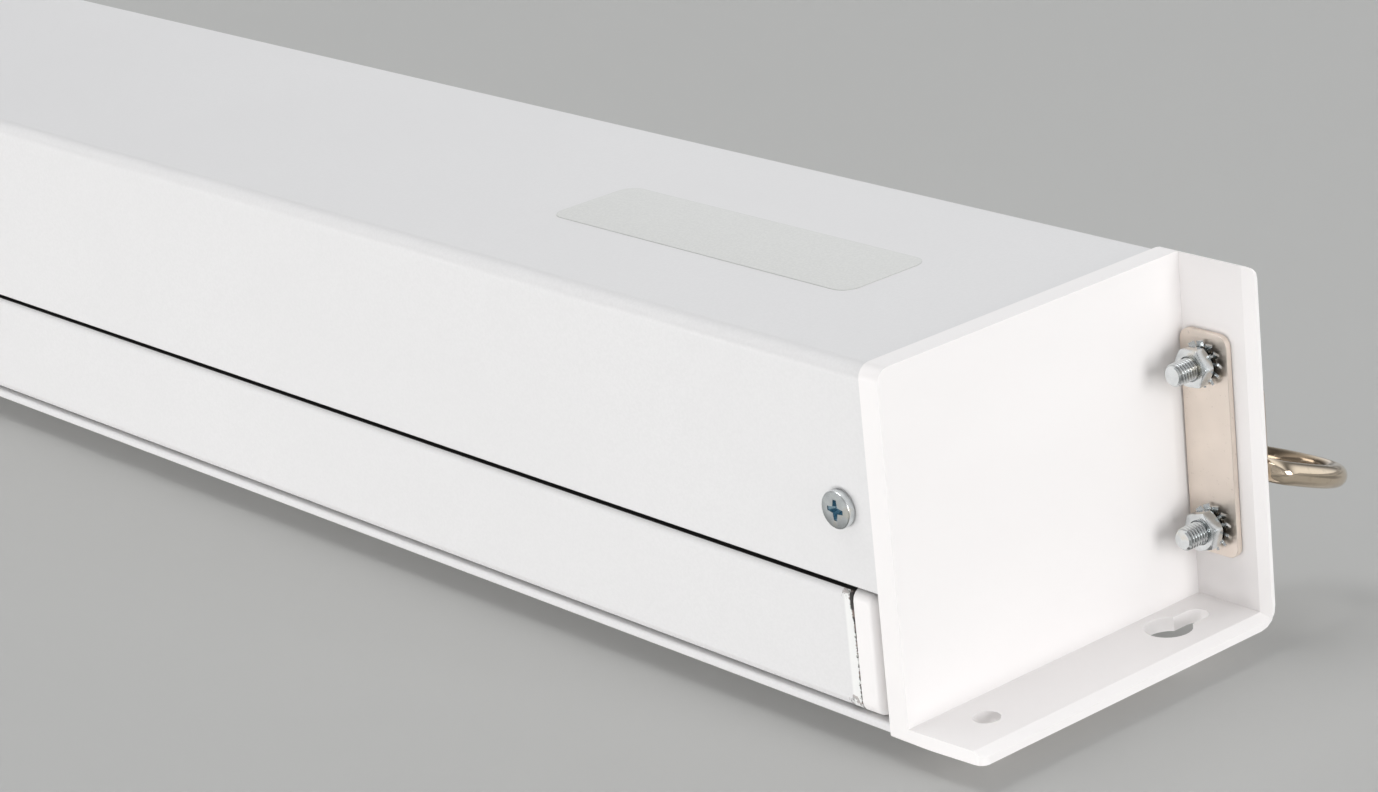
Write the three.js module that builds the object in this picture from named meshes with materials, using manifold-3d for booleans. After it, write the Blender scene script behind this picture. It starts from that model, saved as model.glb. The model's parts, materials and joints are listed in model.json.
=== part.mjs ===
// A manual pull-down projection screen: a long sheet-metal case that hangs on a wall or from a ceiling,
// with a spring roller inside that winds the fabric, and a weighted slat that closes the slot below.
// Millimetres. X runs along the case, the front faces -Y, the wall is at Y = 0 and +Z is up.
// The origin lies on the wall, midway between the seats of the two keyholes.

import * as THREE from 'three';
import { mergeVertices } from 'three/addons/utils/BufferGeometryUtils.js';
import Module from 'manifold-3d';

const wasm = await Module();
wasm.setup();

// Fits shared by all pieces
const seatGap = 0.2; // between a piece and the face that it rests on
const fitGap = 0.3; // around a piece that passes through or turns in another
const overrun = 5; // how far a cut runs past the faces that it opens
const sheet = 1; // case and slat metal

// Picture and fabric
const viewWidth = 1524;
const viewHeight = 1524;
const sideBorder = 25;
const lowerBorder = 25;
const leader = 51; // black fabric above the picture, drawn out of the case
const fabricThickness = 0.4;
const fabricWidth = viewWidth + 2 * sideBorder;
const drop = viewHeight + lowerBorder + leader; // full travel of the slat

// Case section, from the wall forwards and from the underside up
const capDepth = 80;
const capHeight = 88;
const capProud = 0.5; // the cap's rim stands this far outside the sheet
const wallProud = 0.4; // and this far on the wall side
const bendRadius = 3.5; // outside of the case's long bends
const lipY = -30.8; // edge of the underside, in front of the slot
const lipHeight = 8;
const lipRadius = 0.6; // crisp bends along the slot and at the foot of the back
const hemWidth = 2.15; // rolled bead at the foot of the back
const hemHeight = 7;
const endRoom = 38; // from the fabric's edge to the cap's inner face
const interior = fabricWidth + 2 * endRoom;

// End caps
const plateThickness = 5.5;
const flangeReach = 19.6;
const ceilingThickness = 2.3;
const wallRoot = 3.2; // wall flange thickness at the plate
const wallTip = 3; // and near its free edge
const chamferWidth = 2.3; // along the inner free edges of both flanges
const chamferSlope = 0.55;
const footRise = 1.4; // the wall flange's foot edge climbs towards its free corner
const flangeCorner = 2; // free corners of both flanges, in their own plane
const frontCorner = 3;
const ceilingCorner = 4.5; // between the ceiling flange and the wall flange
const footCorner = 0.6;
const keyholeX = 7.4; // from the plate's outer face
const keyholeZ = 68.3;
const keyholeRadius = 5.2;
const slotHalf = 2.75;
const slotSeatZ = 76.8; // centre of the slot's upper end, where the wall screw bears
const steadyHoleX = 8.3; // round hole that steadies the case on the wall
const steadyHoleZ = 13.9;
const steadyHoleRadius = 2.95;
const spigotDepth = 16;
const spigotWall = 2.4;
const spigotLipY = -36; // the spigot stays clear of the slat in front of the slot
const spigotFootZ = 18; // and above it at the back
const screwBlockHalf = 5.5;
const screwBlockHeight = 8;
const socketRadius = 13;
const socketDepth = 10;
const ribThickness = 2;
const ribDepth = 7;

// Case screws
const caseScrewX = 9; // inwards from the plate's inner face
const caseScrewY = -47.8;
const caseScrewLength = 8;
const caseScrewRadius = 2; // M4
const caseHeadRadius = 4.1;
const caseHeadHeight = 2.1;

// Hanger: a strap with a raised saddle, a ring, a backing plate and two screws with toothed washers and nuts
const hangerX = 7.5; // from the plate's outer face
const hangerY = -39.2;
const hangerPitch = 36.5;
const strapLength = 49.6;
const strapWidth = 13;
const strapInset = 0.5; // its middle lies nearer the plate than its screws
const saddleWidth = 12; // the upper strap is the narrower one
const strapThickness = 1.5;
const strapCorner = 2.5;
const backingThickness = 1.4;
const ringWire = 5;
const ringWidth = 25.6; // between the centres of the ring's legs
const ringLegs = 8.5;
const ringBow = 20.3;
const ringCorner = 3.4;
const ringBarOffset = 5.7; // the bar lies at the wall side of the saddle
const ringLean = 22; // degrees towards the wall, as the ring lies
const ringButt = 0.5; // open joint in the middle of the bar
const saddleHalf = 9.5; // inside of the raised saddle
const saddleSpread = 0.7; // how much wider its foot is than its crown
const saddleRound = 2.4;
const hangerScrewLength = 16;
const hangerScrewRadius = 2.5; // M5
const hangerHeadRadius = 3.7;
const hangerHeadHeight = 2.2;
const washerThickness = 1.6; // over its twisted teeth
const washerTeeth = 12;
const washerRadius = 5;
const washerRootRadius = 4;
const nutAcrossFlats = 8;
const nutHeight = 3.2;

// Roller
const rollerRadius = 19;
const rollerWall = 0.8;
const endPlay = 0.8; // between the idler hub and its bush
const spareTurns = 1.5; // fabric that never leaves the tube
const axisZ = 46;
const hubFlange = 2;
const hubSleeve = 16;
const hubWall = 1.6;
const idlerPinRadius = 4;
const idlerPinTipGap = 1.5;
const bushWall = 1.7;
const bushFlangeRadius = 7.6;
const bushFlange = 1;

// Spring end
const mechanismPlay = 3.1; // between the pawls' rivets and the cap's socket
const spindleRadius = 3;
const spindleLength = 430;
const tangWidth = 7.6;
const tangThickness = 3;
const tangLength = 9.5;
const ratchetRadius = 7;
const ratchetThickness = 3;
const notches = 4;
const notchBite = 1; // how deep a locked pawl's tip lies inside the wheel
const pawlClear = 2; // how far outside the wheel a free pawl's tip lies
const pawlPivotRadius = 13.5;
const pawlReach = 11;
const pawlHalf = 1.5;
const pawlEyeRadius = 2.8;
const pawlThickness = 2.5;
const rivetRadius = 1.5;
const rivetHeadRadius = 2.5;
const rivetHead = 1;
const anchorLength = 22;
const anchorTail = 3; // from the anchor to the spindle's end
const neckLength = 12; // necks that centre the spring's ends
const collarThickness = 1.5;
const collarRadius = 10;
const springWire = 1.8;
const springRadius = 8.4;
const springTurns = 40;
const springBend = 2.2; // where the wire's straight ends turn into the coil

// Slat
const slatWidth = 27;
const slatHeight = 12;
const slatRadius = 2;
const slatGap = 0.7; // black line between the slat and the front lip
const slatMouthHalf = 2.6;
const slatLip = 3;
const plugHead = 6.2;
const plugRound = 2;
const plugCorner = 2.6;
const plugLip = 0.2; // the plug's head stands this far outside the slat
const plugSpigot = 14;
const plugRunGap = 2; // between a plug and the cap
const rodRadius = 3.2;

// Pull handle
const bailWire = 4;
const bailHalf = 37;
const bailDrop = 32;
const bailCorner = 8;
const bailBend = 4.5; // where each leg turns into its pin
const bailPinInset = 20; // how far each end of the bail runs inwards
const bracketHalf = 30;
const bracketDepth = 20; // across the slat
const bracketThickness = 1.2;
const handleRivetX = 22;
const handleRivetY = 7;
const handleRivetRadius = 1.5;
const handleRivetHead = 2.6;
const handleRivetHeadHeight = 1.4;
const handleRivetShank = 3;

// Steps of the curved surfaces
const cornerSteps = 4;
const fullSteps = 32;
const smallSteps = 16;
const ringSides = 10;
const coilSteps = 8;
const coilSides = 5;
const rad = Math.PI / 180;

// Places worked out from the sizes above
const frontY = -capDepth + capProud;
const backY = -wallProud;
const underZ = capProud;
const topZ = capHeight - capProud;
const capX = interior / 2; // inner face of each cap's plate
const faceX = capX + plateThickness; // its outer face
const slatFrontY = lipY + slatGap;
const slatY = slatFrontY + slatWidth / 2;
const slatTopZ = underZ + slatHeight;
const slatEndX = capX - plugRunGap - plugHead - seatGap;
const rollRadius = Math.sqrt(
  rollerRadius ** 2 + ((drop + spareTurns * 2 * Math.PI * rollerRadius) * fabricThickness) / Math.PI,
);
const axisY = slatY - fabricThickness / 2 - fitGap - rollRadius;
const socketFaceX = capX - socketDepth;
const bushFaceX = socketFaceX - seatGap - bushFlange;
const tubeEndX = bushFaceX - endPlay - hubFlange;
const pawlStack = 2 * seatGap + pawlThickness + rivetHead;
const hubFaceX = -socketFaceX + mechanismPlay + pawlStack; // outer face of the pawl hub
const tubeStartX = hubFaceX + hubFlange;
const collarX = 2 * hubFlange + seatGap + rivetHead + fitGap; // from the hub's outer face
const anchorX = spindleLength - anchorTail - anchorLength;
const neckRadius = springRadius * Math.cos(Math.PI / coilSteps) - springWire / 2 - fitGap;
const rodZ = slatTopZ - slatLip - seatGap - rodRadius;
const ringRadius = ringWire / 2;
const ringZ = capHeight + fitGap + ringRadius;
const strapZ = capHeight + seatGap;
const backingZ = capHeight - ceilingThickness - seatGap - backingThickness;
const washerZ = backingZ - seatGap - washerThickness;
const nutZ = washerZ - seatGap - nutHeight;
const ringY = hangerY + ringBarOffset;
const bailRadius = bailWire / 2;
const bailZ = underZ - seatGap - fitGap - bailRadius;

// Shapes

// Vertices of a solid, merged, with nothing but their places
function toSolid(geometry) {
  const bare = geometry.clone();
  bare.deleteAttribute('normal');
  bare.deleteAttribute('uv');
  const merged = mergeVertices(bare);
  return new wasm.Manifold(
    new wasm.Mesh({
      numProp: 3,
      vertProperties: merged.getAttribute('position').array,
      triVerts: merged.getIndex().array,
    }),
  );
}

function toGeometry(solid) {
  const { vertProperties, triVerts } = solid.getMesh();
  const geometry = new THREE.BufferGeometry();
  geometry.setAttribute('position', new THREE.BufferAttribute(vertProperties, 3));
  geometry.setIndex(new THREE.BufferAttribute(triVerts, 1));
  geometry.computeVertexNormals();
  return geometry;
}

const join = (...parts) => toGeometry(parts.map(toSolid).reduce((all, next) => all.add(next)));
const cut = (body, ...tools) => toGeometry(tools.map(toSolid).reduce((left, tool) => left.subtract(tool), toSolid(body)));
const keepInside = (body, limit) => toGeometry(toSolid(body).intersect(toSolid(limit)));

// The same solid seen in a mirror across X, with its faces still pointing out
function mirrored(geometry) {
  const copy = geometry.index ? geometry.toNonIndexed() : geometry.clone();
  copy.scale(-1, 1, 1);
  const place = copy.getAttribute('position');
  for (let i = 0; i < place.count; i += 3) {
    const held = new THREE.Vector3().fromBufferAttribute(place, i + 1);
    place.setXYZ(i + 1, place.getX(i + 2), place.getY(i + 2), place.getZ(i + 2));
    place.setXYZ(i + 2, held.x, held.y, held.z);
  }
  copy.deleteAttribute('normal');
  copy.deleteAttribute('uv');
  const merged = mergeVertices(copy);
  merged.computeVertexNormals();
  return merged;
}

// Rounds one corner [u, v, radius] of a run, between its neighbours
function roundedCorner(before, [u, v, radius], after) {
  const corner = new THREE.Vector2(u, v);
  const back = new THREE.Vector2(before[0], before[1]).sub(corner).normalize();
  const ahead = new THREE.Vector2(after[0], after[1]).sub(corner).normalize();
  const half = Math.acos(back.dot(ahead)) / 2;
  const centre = back.clone().add(ahead).setLength(radius / Math.sin(half)).add(corner);
  const start = back.clone().multiplyScalar(radius / Math.tan(half)).add(corner).sub(centre);
  const turn = Math.sign(ahead.cross(back)) * (Math.PI - 2 * half);
  const steps = Math.max(1, Math.round((cornerSteps * Math.abs(turn)) / (Math.PI / 2)));
  return Array.from({ length: steps + 1 }, (_, i) =>
    start.clone().rotateAround(new THREE.Vector2(), (turn * i) / steps).add(centre),
  );
}

// Points along a run of corners, open or closed
function roundedRun(corners, closed) {
  const last = corners.length - 1;
  return corners.flatMap((corner, i) => {
    const atEnd = !closed && (i === 0 || i === last);
    if (atEnd || !corner[2]) return [new THREE.Vector2(corner[0], corner[1])];
    return roundedCorner(corners.at(i - 1), corner, corners[(i + 1) % corners.length]);
  });
}

const outline = (corners) => roundedRun(corners, true);

// Outline of a bent sheet: its outer face follows the corners, and the sheet lies to the right of that run
function bentSheet(corners, thickness) {
  const way = corners.slice(1).map(([u, v], i) => new THREE.Vector2(u - corners[i][0], v - corners[i][1]).normalize());
  const right = way.map((d) => new THREE.Vector2(d.y, -d.x));
  const inner = corners.map(([u, v, radius = 0], i) => {
    const first = right[Math.max(0, i - 1)];
    const second = right[Math.min(right.length - 1, i)];
    const shift = first.clone().add(second).multiplyScalar(thickness / (1 + first.dot(second)));
    const turnsRight = i > 0 && i < way.length && way[i - 1].cross(way[i]) < 0;
    return [u + shift.x, v + shift.y, radius && Math.max(0, turnsRight ? radius - thickness : radius + thickness)];
  });
  return [...roundedRun(corners, false), ...roundedRun(inner, false).reverse()];
}

function circle(u, v, radius, steps = fullSteps) {
  return Array.from({ length: steps }, (_, i) => {
    const angle = (i * 2 * Math.PI) / steps;
    return new THREE.Vector2(u + radius * Math.cos(angle), v + radius * Math.sin(angle));
  });
}

const rectangle = (u0, v0, u1, v1, radius = 0) =>
  outline([
    [u0, v0, radius],
    [u1, v0, radius],
    [u1, v1, radius],
    [u0, v1, radius],
  ]);

// A prism along one axis: its outline lies in the next two axes, in the order X, Y, Z, X
const [ex, ey, ez] = [new THREE.Vector3(1, 0, 0), new THREE.Vector3(0, 1, 0), new THREE.Vector3(0, 0, 1)];
const layAlong = {
  x: new THREE.Matrix4().makeBasis(ey, ez, ex),
  y: new THREE.Matrix4().makeBasis(ez, ex, ey),
  z: new THREE.Matrix4(),
};

function prism(axis, points, from, to, holes = []) {
  const shape = new THREE.Shape(points);
  shape.holes = holes.map((hole) => new THREE.Path(hole));
  const geometry = new THREE.ExtrudeGeometry(shape, { depth: to - from, bevelEnabled: false });
  return geometry.translate(0, 0, from).applyMatrix4(layAlong[axis]);
}

// A turned piece: [radius, distance] pairs along the axis, starting and ending on it or closing on themselves
function turned(axis, profile, steps = fullSteps) {
  const points = profile.map(([radius, along]) => new THREE.Vector2(radius, along));
  const geometry = new THREE.LatheGeometry(points, steps);
  return geometry.rotateX(Math.PI / 2).applyMatrix4(layAlong[axis]);
}

// A run whose rings stand exactly on its points
class PointRun extends THREE.Curve {
  constructor(points) {
    super();
    this.points = points;
  }

  getPointAt(share) {
    return this.points[Math.round(share * (this.points.length - 1))].clone();
  }

  getTangentAt(share) {
    const last = this.points.length - 1;
    const i = Math.round(share * last);
    const [before, after] = [this.points[Math.max(0, i - 1)], this.points[Math.min(last, i + 1)]];
    return after.clone().sub(before).normalize();
  }
}

function wire(points, radius, sides) {
  const shape = new THREE.Shape(circle(0, 0, radius, sides));
  return new THREE.ExtrudeGeometry(shape, { steps: points.length - 1, extrudePath: new PointRun(points) });
}

// A closed skin through convex sections with equal numbers of points
function loft(sections) {
  const count = sections[0].length;
  const index = [];
  for (let s = 0; s + 1 < sections.length; s += 1) {
    for (let i = 0; i < count; i += 1) {
      const j = (i + 1) % count;
      const [a, b] = [s * count + i, s * count + j];
      index.push(a, b, b + count, a, b + count, a + count);
    }
  }
  const far = (sections.length - 1) * count;
  for (let i = 1; i + 1 < count; i += 1) index.push(0, i + 1, i, far, far + i, far + i + 1);
  const geometry = new THREE.BufferGeometry().setFromPoints(sections.flat());
  geometry.setIndex(index);
  geometry.computeVertexNormals();
  return geometry;
}

// Materials
const finish = (color, roughness, metalness) => new THREE.MeshStandardMaterial({ color, roughness, metalness });
const paint = () => finish(0xdededc, 0.5, 0.1);
const moulding = () => finish(0xf4f3f2, 0.42, 0);
const nickel = () => finish(0xcbc2b8, 0.3, 1);
const zinc = () => finish(0xd3d8da, 0.28, 1);
const steel = () => finish(0x9a9c9e, 0.35, 1);
const nylon = () => finish(0xe9e6dc, 0.5, 0);
const fabric = () => finish(0xf1f1ee, 0.9, 0);
const black = () => finish(0x1b1b1c, 0.6, 0);

// The whole screen, built from the underside of the case up
const screen = new THREE.Group();
screen.position.z = -slotSeatZ;

function add(name, geometry, material, x = 0, y = 0, z = 0, into = screen) {
  const mesh = new THREE.Mesh(geometry, material);
  mesh.name = name;
  mesh.position.set(x, y, z);
  into.add(mesh);
  return mesh;
}

// Housing: one roll-formed sheet, from the front lip of the slot round to the rolled bead at the back

function housing() {
  const section = bentSheet(
    [
      [lipY, underZ + lipHeight],
      [lipY, underZ, lipRadius],
      [frontY, underZ, bendRadius],
      [frontY, topZ, bendRadius],
      [backY, topZ, bendRadius],
      [backY, underZ, lipRadius],
      [backY - hemWidth, underZ, lipRadius],
      [backY - hemWidth, underZ + hemHeight],
    ],
    sheet,
  );
  const half = capX - seatGap;
  const holes = [-1, 1].map((side) =>
    prism(
      'z',
      circle(side * (capX - caseScrewX), caseScrewY, caseScrewRadius + fitGap, smallSteps),
      -overrun,
      capHeight + overrun,
    ),
  );
  return cut(prism('x', section, -half, half), ...holes);
}

// End caps, drawn for the right end with the plate's inner face at X = 0

// Space between the flanges, whose mouth flares where the flanges' inner edges are chamfered
function flangeRecess() {
  const tip = plateThickness + flangeReach;
  const section = (x, wall, ceiling) => {
    const [y, z] = [-wall, capHeight - ceiling];
    return [
      [-capDepth - overrun, -overrun],
      [y, -overrun],
      [y, z],
      [-capDepth - overrun, z],
    ].map(([u, v]) => new THREE.Vector3(x, u, v));
  };
  const flare = (chamferWidth + overrun) * chamferSlope;
  return loft([
    section(plateThickness, wallRoot, ceilingThickness),
    section(tip - chamferWidth, wallTip, ceilingThickness),
    section(tip + overrun, wallTip - flare, ceilingThickness - flare),
  ]);
}

// A round head opening that narrows upwards into a slot
function keyhole() {
  const shoulder = Math.asin(slotHalf / keyholeRadius);
  const x = plateThickness + keyholeX;
  const headSteps = fullSteps - smallSteps / 2;
  const head = Array.from({ length: headSteps + 1 }, (_, i) => {
    const angle = shoulder + ((2 * Math.PI - 2 * shoulder) * i) / headSteps;
    return new THREE.Vector2(keyholeZ + keyholeRadius * Math.cos(angle), x + keyholeRadius * Math.sin(angle));
  });
  const end = Array.from({ length: cornerSteps * 2 + 1 }, (_, i) => {
    const angle = -Math.PI / 2 + (i * Math.PI) / (cornerSteps * 2);
    return new THREE.Vector2(slotSeatZ + slotHalf * Math.cos(angle), x + slotHalf * Math.sin(angle));
  });
  return prism('y', [...head, ...end], -wallRoot - overrun, overrun);
}

// The part of the cap that slides into the case: a thin wall behind the sheet, open where the slat moves
function spigot() {
  const inset = sheet + fitGap;
  const radius = bendRadius - inset;
  const wall = bentSheet(
    [
      [spigotLipY, underZ + inset],
      [frontY + inset, underZ + inset, radius],
      [frontY + inset, topZ - inset, radius],
      [backY - inset, topZ - inset, radius],
      [backY - inset, spigotFootZ],
    ],
    spigotWall,
  );
  const block = (z0, z1) =>
    prism('x', rectangle(caseScrewY - screwBlockHalf, z0, caseScrewY + screwBlockHalf, z1), -spigotDepth, overrun / 2);
  return [
    prism('x', wall, -spigotDepth, overrun / 2),
    block(underZ + inset, underZ + inset + screwBlockHeight),
    block(topZ - inset - screwBlockHeight, topZ - inset),
  ];
}

// Webs that tie the roller's socket to the spigot on all four sides
function socketRibs() {
  const half = ribThickness / 2;
  const inset = sheet + fitGap + spigotWall / 2;
  return [
    prism('x', rectangle(axisY - half, underZ + inset, axisY + half, topZ - inset), -ribDepth, overrun / 2),
    prism('x', rectangle(frontY + inset, axisZ - half, backY - inset, axisZ + half), -ribDepth, overrun / 2),
  ];
}

function endCap(socket) {
  const tip = plateThickness + flangeReach;
  const block = prism(
    'x',
    outline([
      [-capDepth, 0, frontCorner],
      [0, 0, footCorner],
      [0, capHeight, ceilingCorner],
      [-capDepth, capHeight, frontCorner],
    ]),
    0,
    tip,
  );
  const [depth, height] = [capDepth + overrun, capHeight + overrun];
  const footLimit = outline([
    [0, -overrun],
    [0, plateThickness],
    [footRise, tip, flangeCorner],
    [height, tip],
    [height, -overrun],
  ]);
  const frontLimit = outline([
    [-overrun, -capDepth],
    [tip, -capDepth, flangeCorner],
    [tip, overrun],
    [-overrun, overrun],
  ]);
  const plate = keepInside(block, prism('y', footLimit.reverse(), -depth, overrun));
  const body = join(
    cut(keepInside(plate, prism('z', frontLimit, -overrun, height)), flangeRecess()),
    ...spigot(),
    ...socketRibs(),
    prism('x', circle(axisY, axisZ, socketRadius), -socketDepth, overrun / 2),
  );
  const x = plateThickness;
  const screwHoles = [-1, 1].map((side) =>
    prism(
      'z',
      circle(x + hangerX, hangerY + (side * hangerPitch) / 2, hangerScrewRadius + fitGap, smallSteps),
      capHeight - ceilingThickness - overrun,
      capHeight + overrun,
    ),
  );
  const caseHoles = [
    [-overrun, underZ + screwBlockHeight + caseScrewLength],
    [topZ - screwBlockHeight - caseScrewLength, capHeight + overrun],
  ].map(([z0, z1]) => prism('z', circle(-caseScrewX, caseScrewY, caseScrewRadius + fitGap, smallSteps), z0, z1));
  const steady = circle(steadyHoleZ, x + steadyHoleX, steadyHoleRadius, smallSteps);
  return cut(
    body,
    keyhole(),
    prism('y', steady, -wallRoot - overrun, overrun),
    ...screwHoles,
    ...caseHoles,
    prism('x', socket, -socketDepth - overrun, -seatGap),
  );
}

// Screws, washers and nuts

// A pan-head screw with its head's seat at 0 and its shank pointing down
function panScrew(radius, headRadius, headHeight, length) {
  const point = radius / 3;
  const panShares = [
    [1, 0],
    [1, 0.45],
    [0.8, 0.85],
    [0.45, 1],
    [0, 1],
  ];
  const head = panShares.map(([radiusShare, heightShare]) => [headRadius * radiusShare, headHeight * heightShare]);
  const shank = [
    [0, -length],
    [radius - point, -length],
    [radius, -length + point],
    [radius, 0],
  ];
  return turned('z', [...shank, ...head], smallSteps);
}

function hexNut() {
  const corner = nutAcrossFlats / 2 / Math.cos(30 * rad);
  const chamfer = corner - nutAcrossFlats / 2;
  const body = prism('z', circle(0, 0, corner, 6), 0, nutHeight, [
    circle(0, 0, hangerScrewRadius + fitGap, smallSteps).reverse(),
  ]);
  const limit = turned(
    'z',
    [
      [0, 0],
      [nutAcrossFlats / 2, 0],
      [corner + fitGap, chamfer + fitGap],
      [corner + fitGap, nutHeight - chamfer - fitGap],
      [nutAcrossFlats / 2, nutHeight],
      [0, nutHeight],
    ],
    fullSteps,
  );
  return keepInside(body, limit);
}

// A washer with teeth round its outside
function toothedWasher() {
  const step = (2 * Math.PI) / washerTeeth;
  const toothShares = [-0.32, -0.16, 0.16, 0.32];
  const radii = [washerRootRadius, washerRadius, washerRadius, washerRootRadius];
  const points = Array.from({ length: washerTeeth }, (_, i) =>
    toothShares.map((share, k) => {
      const angle = (i + share) * step;
      return new THREE.Vector2(radii[k] * Math.cos(angle), radii[k] * Math.sin(angle));
    }),
  ).flat();
  const bore = circle(0, 0, hangerScrewRadius + fitGap, smallSteps);
  return prism('z', points, 0, washerThickness, [bore.reverse()]);
}

// Hanger

const strapHoles = () =>
  [-1, 1].map((side) => circle(0, (side * hangerPitch) / 2, hangerScrewRadius + fitGap, smallSteps).reverse());

// A strap with a raised channel across its middle, standing on Z = 0
function saddleSection(half, channelHalf, channelHeight, thickness, round, spread) {
  const foot = channelHalf + thickness;
  return bentSheet(
    [
      [-half, thickness],
      [-foot - spread, thickness, round - thickness],
      [-foot, channelHeight + thickness, round],
      [foot, channelHeight + thickness, round],
      [foot + spread, thickness, round - thickness],
      [half, thickness],
    ],
    thickness,
  );
}

function hangerSaddle() {
  const height = 2 * ringRadius + fitGap * 2 - seatGap;
  const half = saddleWidth / 2;
  const section = saddleSection(strapLength / 2, saddleHalf, height, strapThickness, saddleRound, saddleSpread);
  const plan = prism(
    'z',
    rectangle(-half, -strapLength / 2, half, strapLength / 2, strapCorner),
    -overrun,
    height + overrun,
    strapHoles(),
  );
  return keepInside(prism('x', section, -half - overrun, half + overrun), plan);
}

function backingPlate() {
  const half = strapWidth / 2;
  const plan = rectangle(-half - strapInset, -strapLength / 2, half - strapInset, strapLength / 2, strapCorner);
  return prism('z', plan, 0, backingThickness, strapHoles());
}

// A D-ring of bent wire, butted in the middle of its straight bar, standing up from that bar
function hangerRing() {
  const half = ringWidth / 2;
  const corner = (side) =>
    roundedCorner([0, 0], [side * half, 0, ringCorner], [side * half, ringLegs]).map(
      ({ x, y }) => new THREE.Vector3(x, 0, y),
    );
  const bow = Array.from({ length: smallSteps + 1 }, (_, i) => {
    const angle = (i * Math.PI) / smallSteps;
    return new THREE.Vector3(half * Math.cos(angle), 0, ringLegs + ringBow * Math.sin(angle));
  });
  const points = [
    new THREE.Vector3(ringButt / 2, 0, 0),
    ...corner(1),
    ...bow,
    ...corner(-1).reverse(),
    new THREE.Vector3(-ringButt / 2, 0, 0),
  ];
  return wire(points, ringRadius, ringSides).rotateX(-ringLean * rad);
}

// Roller

const tubeInside = () => rollerRadius - rollerWall;

// Fabric wound on the tube: each layer lies one thickness inside the one before it
function fabricRoll() {
  const turns = Array.from({ length: fullSteps * 2 }, (_, i) => {
    const share = i / (fullSteps * 2);
    const radius = rollRadius - fabricThickness * share;
    return new THREE.Vector2(
      axisY + radius * Math.cos(2 * Math.PI * share),
      axisZ + radius * Math.sin(2 * Math.PI * share),
    );
  });
  const bore = circle(axisY, axisZ, rollerRadius + seatGap, fullSteps).reverse();
  return prism('x', turns, -fabricWidth / 2, fabricWidth / 2, [bore]);
}

const rollerTube = () =>
  prism('x', circle(axisY, axisZ, rollerRadius), tubeStartX, tubeEndX, [
    circle(axisY, axisZ, tubeInside()).reverse(),
  ]);

// A cup pressed into the tube, with a flange against the tube's end and a pin that turns in the cap
function idlerHub() {
  const sleeve = tubeInside() - seatGap;
  const tip = hubFlange + endPlay + bushFlange + seatGap + socketDepth - idlerPinTipGap;
  return turned('x', [
    [0, -hubFlange],
    [sleeve - hubWall, -hubFlange],
    [sleeve - hubWall, -hubSleeve],
    [sleeve, -hubSleeve],
    [sleeve, seatGap],
    [rollerRadius, seatGap],
    [rollerRadius, hubFlange],
    [idlerPinRadius + endPlay / 2, hubFlange],
    [idlerPinRadius, hubFlange + endPlay / 2],
    [idlerPinRadius, tip - idlerPinRadius / 4],
    [idlerPinRadius * 0.75, tip],
    [0, tip],
  ]);
}

function idlerBush() {
  const bore = idlerPinRadius + fitGap;
  const outer = bore + bushWall;
  return turned('x', [
    [bore, -socketDepth - seatGap - bushFlange],
    [bushFlangeRadius, -socketDepth - seatGap - bushFlange],
    [bushFlangeRadius, -socketDepth - seatGap],
    [outer, -socketDepth - seatGap],
    [outer, -2 * seatGap],
    [bore, -2 * seatGap],
    [bore, -socketDepth - seatGap - bushFlange],
  ]);
}

// Spring end of the roller, whose pieces are drawn outwards from the hub's face at X = 0, towards -X

function pawlHub() {
  const sleeve = tubeInside() - seatGap;
  const cup = turned('x', [
    [spindleRadius + fitGap, 0],
    [rollerRadius, 0],
    [rollerRadius, hubFlange - seatGap],
    [sleeve, hubFlange - seatGap],
    [sleeve, hubFlange + hubSleeve],
    [sleeve - hubWall, hubFlange + hubSleeve],
    [sleeve - hubWall, hubFlange * 2],
    [spindleRadius + fitGap, hubFlange * 2],
    [spindleRadius + fitGap, 0],
  ]);
  const holes = [-1, 1].map((side) =>
    prism('x', circle(0, side * pawlPivotRadius, rivetRadius + fitGap / 2, smallSteps), -overrun, hubFlange + overrun),
  );
  return cut(cup, ...holes);
}

// A shouldered rivet with a head on each side of the hub and the pawl
function pawlRivet() {
  const shoulder = -seatGap * 2 - pawlThickness;
  return turned(
    'x',
    [
      [0, shoulder - rivetHead],
      [rivetHeadRadius * 0.7, shoulder - rivetHead],
      [rivetHeadRadius, shoulder - rivetHead / 2],
      [rivetHeadRadius, shoulder],
      [rivetRadius, shoulder],
      [rivetRadius, hubFlange * 2 + seatGap],
      [rivetHeadRadius, hubFlange * 2 + seatGap],
      [rivetHeadRadius, hubFlange * 2 + seatGap + rivetHead],
      [0, hubFlange * 2 + seatGap + rivetHead],
    ],
    smallSteps,
  );
}

// Angle at a pawl's pivot between the line to the wheel's centre and the pawl, for a given place of its tip
const pawlAngle = (tipRadius) =>
  Math.acos((pawlReach ** 2 + pawlPivotRadius ** 2 - tipRadius ** 2) / (2 * pawlReach * pawlPivotRadius));
const openAngle = pawlAngle(ratchetRadius + pawlClear);
const lockedAngle = pawlAngle(ratchetRadius - notchBite);

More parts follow.
